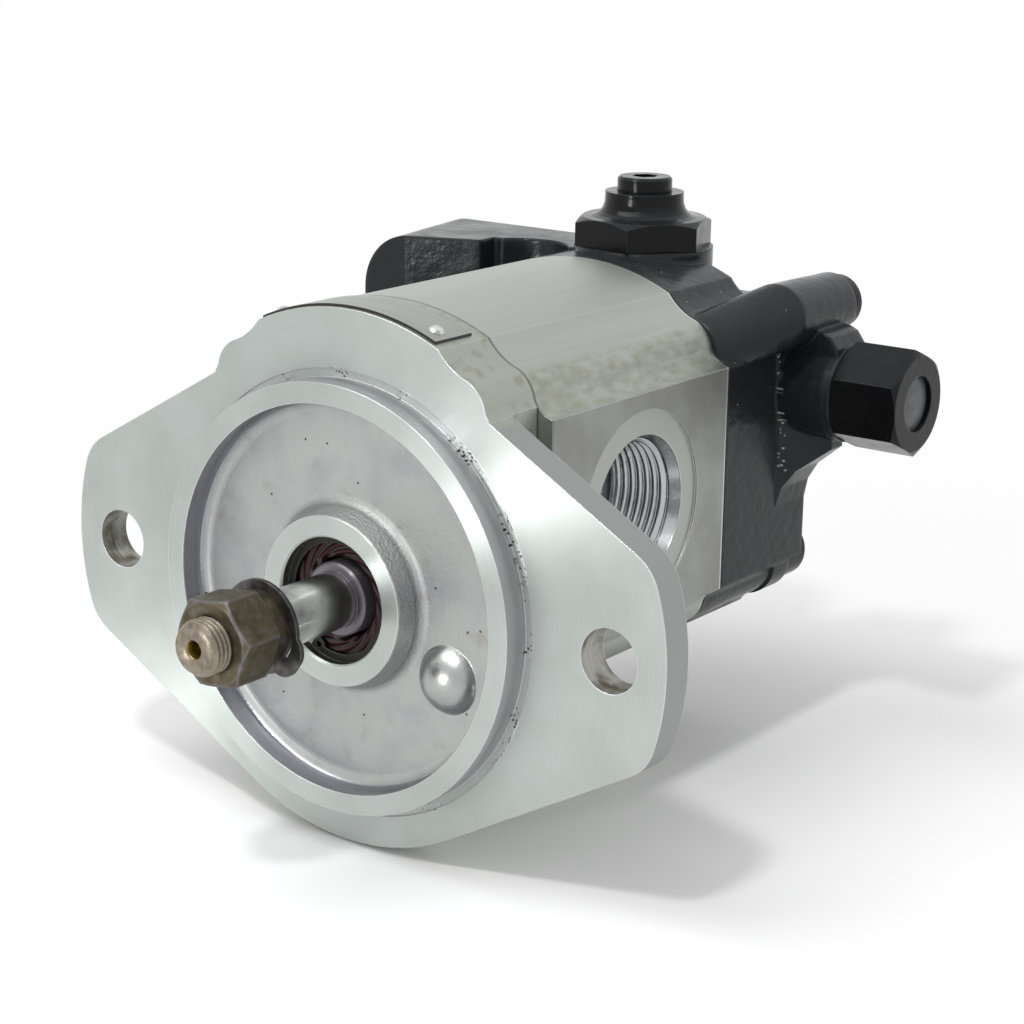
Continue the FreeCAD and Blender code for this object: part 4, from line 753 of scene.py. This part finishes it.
def threaded_sleeve(name, radius, length, pitch, depth, material, placement):
    """A ring with an internal thread that lines a plain bore."""
    outside = radius + SLEEVE_WALL * MM
    bore = [(radius, z) for z in steps(0, length, pitch / 12)]
    data = turned_mesh(name, [(outside, 0), *bore, (outside, length)], 144)
    return made_by_nodes(name, data, bpy.data.node_groups["cut_thread"], {
        "Major Radius": radius, "Thread Depth": depth, "Pitch": pitch, "Finish": material}, placement)


class PUMP_OT_thread_rule(bpy.types.Operator):
    """Make the node group that cuts the threads"""
    bl_idname = "pump.thread_rule"
    bl_label = "Thread rule"

    def execute(self, context):
        thread_tree()
        return {"FINISHED"}


class PUMP_OT_front_cover(bpy.types.Operator):
    """Finish the front cover, its bare plate and rivets"""
    bl_idname = "pump.front_cover"
    bl_label = "Front cover"

    def execute(self, context):
        colours, sizes = context.scene.pump_colours, context.scene.pump_sizes
        dress(["front_cover"], cover_aluminium(colours, sizes))
        dress(["nameplate"], bare_plate(colours))
        dress(["nameplate_rivets"], bright_rivet())
        return {"FINISHED"}


class PUMP_OT_gear_housing(bpy.types.Operator):
    """Finish the extruded housing and line its inlet with a thread"""
    bl_idname = "pump.gear_housing"
    bl_label = "Gear housing"

    def execute(self, context):
        colours, sizes = context.scene.pump_colours, context.scene.pump_sizes
        aluminium = housing_aluminium(colours, sizes)
        dress(["gear_housing"], aluminium)
        inner_end, length = 25.0, 15.6
        placement = (Matrix.Translation(Vector((inner_end, INLET_Y, MID_Z)) * MM)
                     @ Matrix.Rotation(math.radians(90), 4, "Y"))
        data = threaded_sleeve("inlet_thread", INLET_RADIUS * MM, length * MM, sizes.inlet_pitch,
                               sizes.inlet_thread_depth, aluminium, placement)
        new_piece("inlet_thread", data, "pump_body", aluminium)
        return {"FINISHED"}


class PUMP_OT_rear_cover(bpy.types.Operator):
    """Enamel the rear cover and cut its outlet's thread"""
    bl_idname = "pump.rear_cover"
    bl_label = "Rear cover"

    def execute(self, context):
        colours, sizes = context.scene.pump_colours, context.scene.pump_sizes
        dress(["rear_cover"], enamelled_iron(colours, sizes))
        bare = inner_metal("machined_cast_iron", linear("#6E6D6C"), 0.25, 0.4)
        depth, length = 15.0, 14.4
        placement = (Matrix.Translation((Vector(OUTLET_PLACE) - Vector((0, depth, 0))) * MM)
                     @ Matrix.Rotation(math.radians(-90), 4, "X"))
        data = threaded_sleeve("outlet_thread", OUTLET_RADIUS * MM, length * MM, sizes.outlet_pitch,
                               sizes.outlet_thread_depth, bare, placement)
        new_piece("outlet_thread", data, "pump_body", bare)
        return {"FINISHED"}


class PUMP_OT_drive_shaft(bpy.types.Operator):
    """Grind the drive shaft and cut the thread on its end"""
    bl_idname = "pump.drive_shaft"
    bl_label = "Drive shaft"

    def execute(self, context):
        colours, sizes = context.scene.pump_colours, context.scene.pump_sizes
        shape = welded_mesh("drive_shaft")
        # the ground part runs a little way into the threaded one
        lap = 1.0
        cut = bmesh.ops.bisect_plane(shape, geom=shape.verts[:] + shape.edges[:] + shape.faces[:],
                                     dist=1e-7, plane_co=(0, (STUD_END_Y - lap) * MM, 0),
                                     plane_no=(0, -1, 0), clear_outer=True)
        rim = [e for e in cut["geom_cut"] if isinstance(e, bmesh.types.BMEdge)]
        bmesh.ops.edgenet_fill(shape, edges=rim)
        bmesh.ops.recalc_face_normals(shape, faces=shape.faces)
        new_piece("ground_drive_shaft", plain_mesh("ground_drive_shaft", shape, 35), "drive_shaft",
                  ground_shaft_steel(colours, sizes), ["drive_shaft"])
        hole, drill, drill_point, countersink, chamfer = CENTRE_HOLE_RADIUS, 4.5, 1.1, 0.5, 1.1
        total = STUD_END_Y - SHAFT_TIP_Y
        profile = [(0, drill + drill_point), (hole, drill), (hole, countersink), (hole + countersink, 0),
                   (THREAD_RADIUS - chamfer, 0)]
        profile += [(THREAD_RADIUS, z) for z in steps(chamfer, total, sizes.shaft_pitch / MM / 14)]
        profile.append((0, total))
        data = turned_mesh("shaft_thread", [(r * MM, z * MM) for r, z in profile], 96)
        steel = stud_steel(colours)
        placement = Matrix.Translation((0, SHAFT_TIP_Y * MM, 0)) @ Matrix.Rotation(math.radians(-90), 4, "X")
        data = made_by_nodes("shaft_thread", data, bpy.data.node_groups["cut_thread"], {
            "Major Radius": THREAD_RADIUS * MM, "Thread Depth": sizes.shaft_thread_depth,
            "Pitch": sizes.shaft_pitch, "Finish": steel}, placement)
        new_piece("shaft_thread", data, "drive_shaft", steel)
        return {"FINISHED"}


class PUMP_OT_shaft_fittings(bpy.types.Operator):
    """Finish the nut, tab washer, key, retaining ring and shaft seal"""
    bl_idname = "pump.shaft_fittings"
    bl_label = "Shaft fittings"

    def execute(self, context):
        colours = context.scene.pump_colours
        dress(["shaft_nut"], olive_zinc(colours))
        dress(["tab_washer", "woodruff_key"], oiled_steel("oiled_spring_steel", colours.oiled_steel))
        dress(["retaining_ring"], oiled_steel("phosphated_spring_steel", colours.phosphate))
        dress(["shaft_seal"], seal_rubber(colours))
        return {"FINISHED"}


class PUMP_OT_valve_fittings(bpy.types.Operator):
    """Enamel the plugs, cap, adjuster and bolts of the rear cover"""
    bl_idname = "pump.valve_fittings"
    bl_label = "Valve fittings"

    def execute(self, context):
        colours = context.scene.pump_colours
        dress(["relief_plug", "relief_adjuster", "spool_cap", "rear_plug", "housing_bolts"],
              enamelled_steel(colours))
        dress(["spool_cap_disc"], disc_enamel(colours))
        return {"FINISHED"}


class PUMP_OT_inner_parts(bpy.types.Operator):
    """Finish the gears, bearings, seals and valve parts inside"""
    bl_idname = "pump.inner_parts"
    bl_label = "Inner parts"

    def execute(self, context):
        colours = context.scene.pump_colours
        dress(["driven_shaft"], inner_metal("ground_gear_steel", colours.ground_steel, 0.15, 0.3))
        dress(["relief_seat", "relief_poppet", "priority_spool", "dowel_pins"],
              inner_metal("hardened_valve_steel", linear("#A9A9AB"), 0.15, 0.28))
        dress(["garter_spring"], inner_metal("spring_wire", linear("#8E8E90"), 0.22, 0.36))
        dress(["front_bearing_block", "rear_bearing_block"],
              inner_metal("turned_bearing_aluminium", colours.bearing_aluminium, 0.25, 0.38))
        dress(["front_bushes", "rear_bushes"],
              inner_metal("bronze_backed_bush", colours.bearing_bronze, 0.2, 0.34))
        dress(["front_pressure_seal", "rear_pressure_seal", "front_body_seal", "rear_body_seal",
               "gallery_o_ring", "relief_o_ring", "spool_cap_o_ring", "rear_plug_o_ring"],
              moulded_rubber(colours))
        wire = inner_metal("oiled_spring_wire", linear("#7E7E80"), 0.2, 0.34)
        for name, joint, axis, travel in SPRINGS:
            coil = name + "_coil"
            spring = new_piece(coil, plain_mesh(coil, welded_mesh(name), 60), "pump_body", wire,
                               [name])
            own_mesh(spring)
        return {"FINISHED"}


def soft_lamp(name, place, aim, size, power):
    """A square white soft box that points at a place."""
    data = bpy.data.lights.new(name, "AREA")
    data.size = size
    data.energy = power
    lamp = bpy.data.objects.new(name, data)
    lamp.location = place
    lamp.rotation_euler = (Vector(aim) - Vector(place)).to_track_quat("-Z", "Y").to_euler()
    bpy.context.scene.collection.objects.link(lamp)


def seen_or_mirrored(tree):
    """1 for rays from the camera, from a reflection or through glass, which see plain white."""
    rays = add_node(tree, "ShaderNodeLightPath").outputs
    seen = add_node(tree, "ShaderNodeMath", {0: rays["Is Camera Ray"], 1: rays["Is Glossy Ray"]},
                    operation="MAXIMUM")
    return add_node(tree, "ShaderNodeMath", {0: seen, 1: rays["Is Transmission Ray"]}, operation="MAXIMUM")


def floor_material(colours):
    """Matt white paper: it keeps the soft shadow and runs out to plain white behind."""
    material, tree = blank_material("white_paper")
    place = add_node(tree, "ShaderNodeTexCoord").outputs["Object"]
    reach = add_node(tree, "ShaderNodeVectorMath", {0: place}, operation="LENGTH").outputs["Value"]
    far = ramp(tree, reach, 0.15, 0.42)
    paper = add_node(tree, "ShaderNodeBsdfDiffuse", {"Color": colours.floor})
    white = add_node(tree, "ShaderNodeEmission", {"Color": (1, 1, 1, 1), "Strength": 1.0})
    fade = overlap(tree, far, seen_or_mirrored(tree))
    mixed = add_node(tree, "ShaderNodeMixShader", {0: fade, 1: paper, 2: white})
    add_node(tree, "ShaderNodeOutputMaterial", {"Surface": mixed})
    return material


class PUMP_OT_stage(bpy.types.Operator):
    """Set the floor, the soft lights and the camera"""
    bl_idname = "pump.stage"
    bl_label = "Stage"

    def execute(self, context):
        shape = bmesh.new()
        bmesh.ops.create_grid(shape, x_segments=8, y_segments=8, size=20)
        data = bpy.data.meshes.new("paper_floor")
        shape.to_mesh(data)
        shape.free()
        data.materials.append(floor_material(context.scene.pump_colours))
        floor = bpy.data.objects.new("paper_floor", data)
        floor.location = (0, 0.04, CAD_BOX[0].z - 0.0005)
        context.scene.collection.objects.link(floor)
        world = bpy.data.worlds.new("studio")
        context.scene.world = world
        world.use_nodes = True
        tree = world.node_tree
        tree.nodes.clear()
        strength = grades(tree, 0.75, (seen_or_mirrored(tree), 1.0))
        sky = add_node(tree, "ShaderNodeBackground", {"Color": (1, 1, 1, 1), "Strength": strength})
        add_node(tree, "ShaderNodeOutputWorld", {"Surface": sky})
        aim = (0, 0.04, 0.0)
        soft_lamp("key_soft_box", (-0.35, -0.35, 1.0), aim, 0.6, 4.2)
        soft_lamp("top_strip", (0.12, -0.45, 0.75), aim, 0.08, 2.4)
        soft_lamp("front_flash", (-0.1, -0.75, 0.03), aim, 0.07, 1.6)
        self.camera(context)
        return {"FINISHED"}

    def camera(self, context):
        """Long-lens camera to the front right of the pump, a little above it."""
        azimuth, elevation, roll = math.radians(36.62), math.radians(15.59), math.radians(0.83)
        distance, shift_right, shift_up = 547.6 * MM, 37.88 * MM, 19.14 * MM
        focal_pixels, width_pixels = 2384.5, 1024
        back = Vector((math.sin(azimuth) * math.cos(elevation), -math.cos(azimuth) * math.cos(elevation),
                       math.sin(elevation)))
        right = Vector((math.cos(azimuth), math.sin(azimuth), 0))
        up = back.cross(right)
        rolled_right = right * math.cos(roll) + up * math.sin(roll)
        rolled_up = back.cross(rolled_right)
        data = bpy.data.cameras.new("camera")
        data.sensor_width = 36
        data.lens = focal_pixels / width_pixels * data.sensor_width
        data.clip_start, data.clip_end = 0.01, 60
        camera = bpy.data.objects.new("camera", data)
        rotation = Matrix((rolled_right, rolled_up, back)).transposed().to_4x4()
        camera.matrix_world = Matrix.Translation(
            rolled_right * shift_right + rolled_up * shift_up + back * distance) @ rotation
        context.scene.collection.objects.link(camera)
        context.scene.camera = camera
        context.scene.view_settings.view_transform = "Standard"


class PUMP_PT_panel(bpy.types.Panel):
    """Panel that lists the sizes, colours and steps of the pump"""
    bl_idname = "PUMP_PT_panel"
    bl_label = "Charge Pump"
    bl_space_type = "VIEW_3D"
    bl_region_type = "UI"
    bl_category = "Charge Pump"

    def draw(self, context):
        for group in (context.scene.pump_sizes, context.scene.pump_colours):
            box = self.layout.box()
            for name in group.__annotations__:
                box.prop(group, name)
        for step in STEPS:
            self.layout.operator(step.bl_idname)


STEPS = (PUMP_OT_stage, PUMP_OT_thread_rule, PUMP_OT_front_cover, PUMP_OT_gear_housing, PUMP_OT_rear_cover,
         PUMP_OT_drive_shaft, PUMP_OT_shaft_fittings, PUMP_OT_valve_fittings, PUMP_OT_inner_parts)
CLASSES = (PumpSizes, PumpColours, *STEPS, PUMP_PT_panel)


def register():
    for made in CLASSES:
        bpy.utils.register_class(made)
    bpy.types.Scene.pump_sizes = bpy.props.PointerProperty(type=PumpSizes)
    bpy.types.Scene.pump_colours = bpy.props.PointerProperty(type=PumpColours)


def unregister():
    del bpy.types.Scene.pump_colours
    del bpy.types.Scene.pump_sizes
    for made in reversed(CLASSES):
        bpy.utils.unregister_class(made)


def main():
    register()
    for step in STEPS:
        group, name = step.bl_idname.split(".")
        getattr(getattr(bpy.ops, group), name)()


if __name__ == "__main__":
    main()
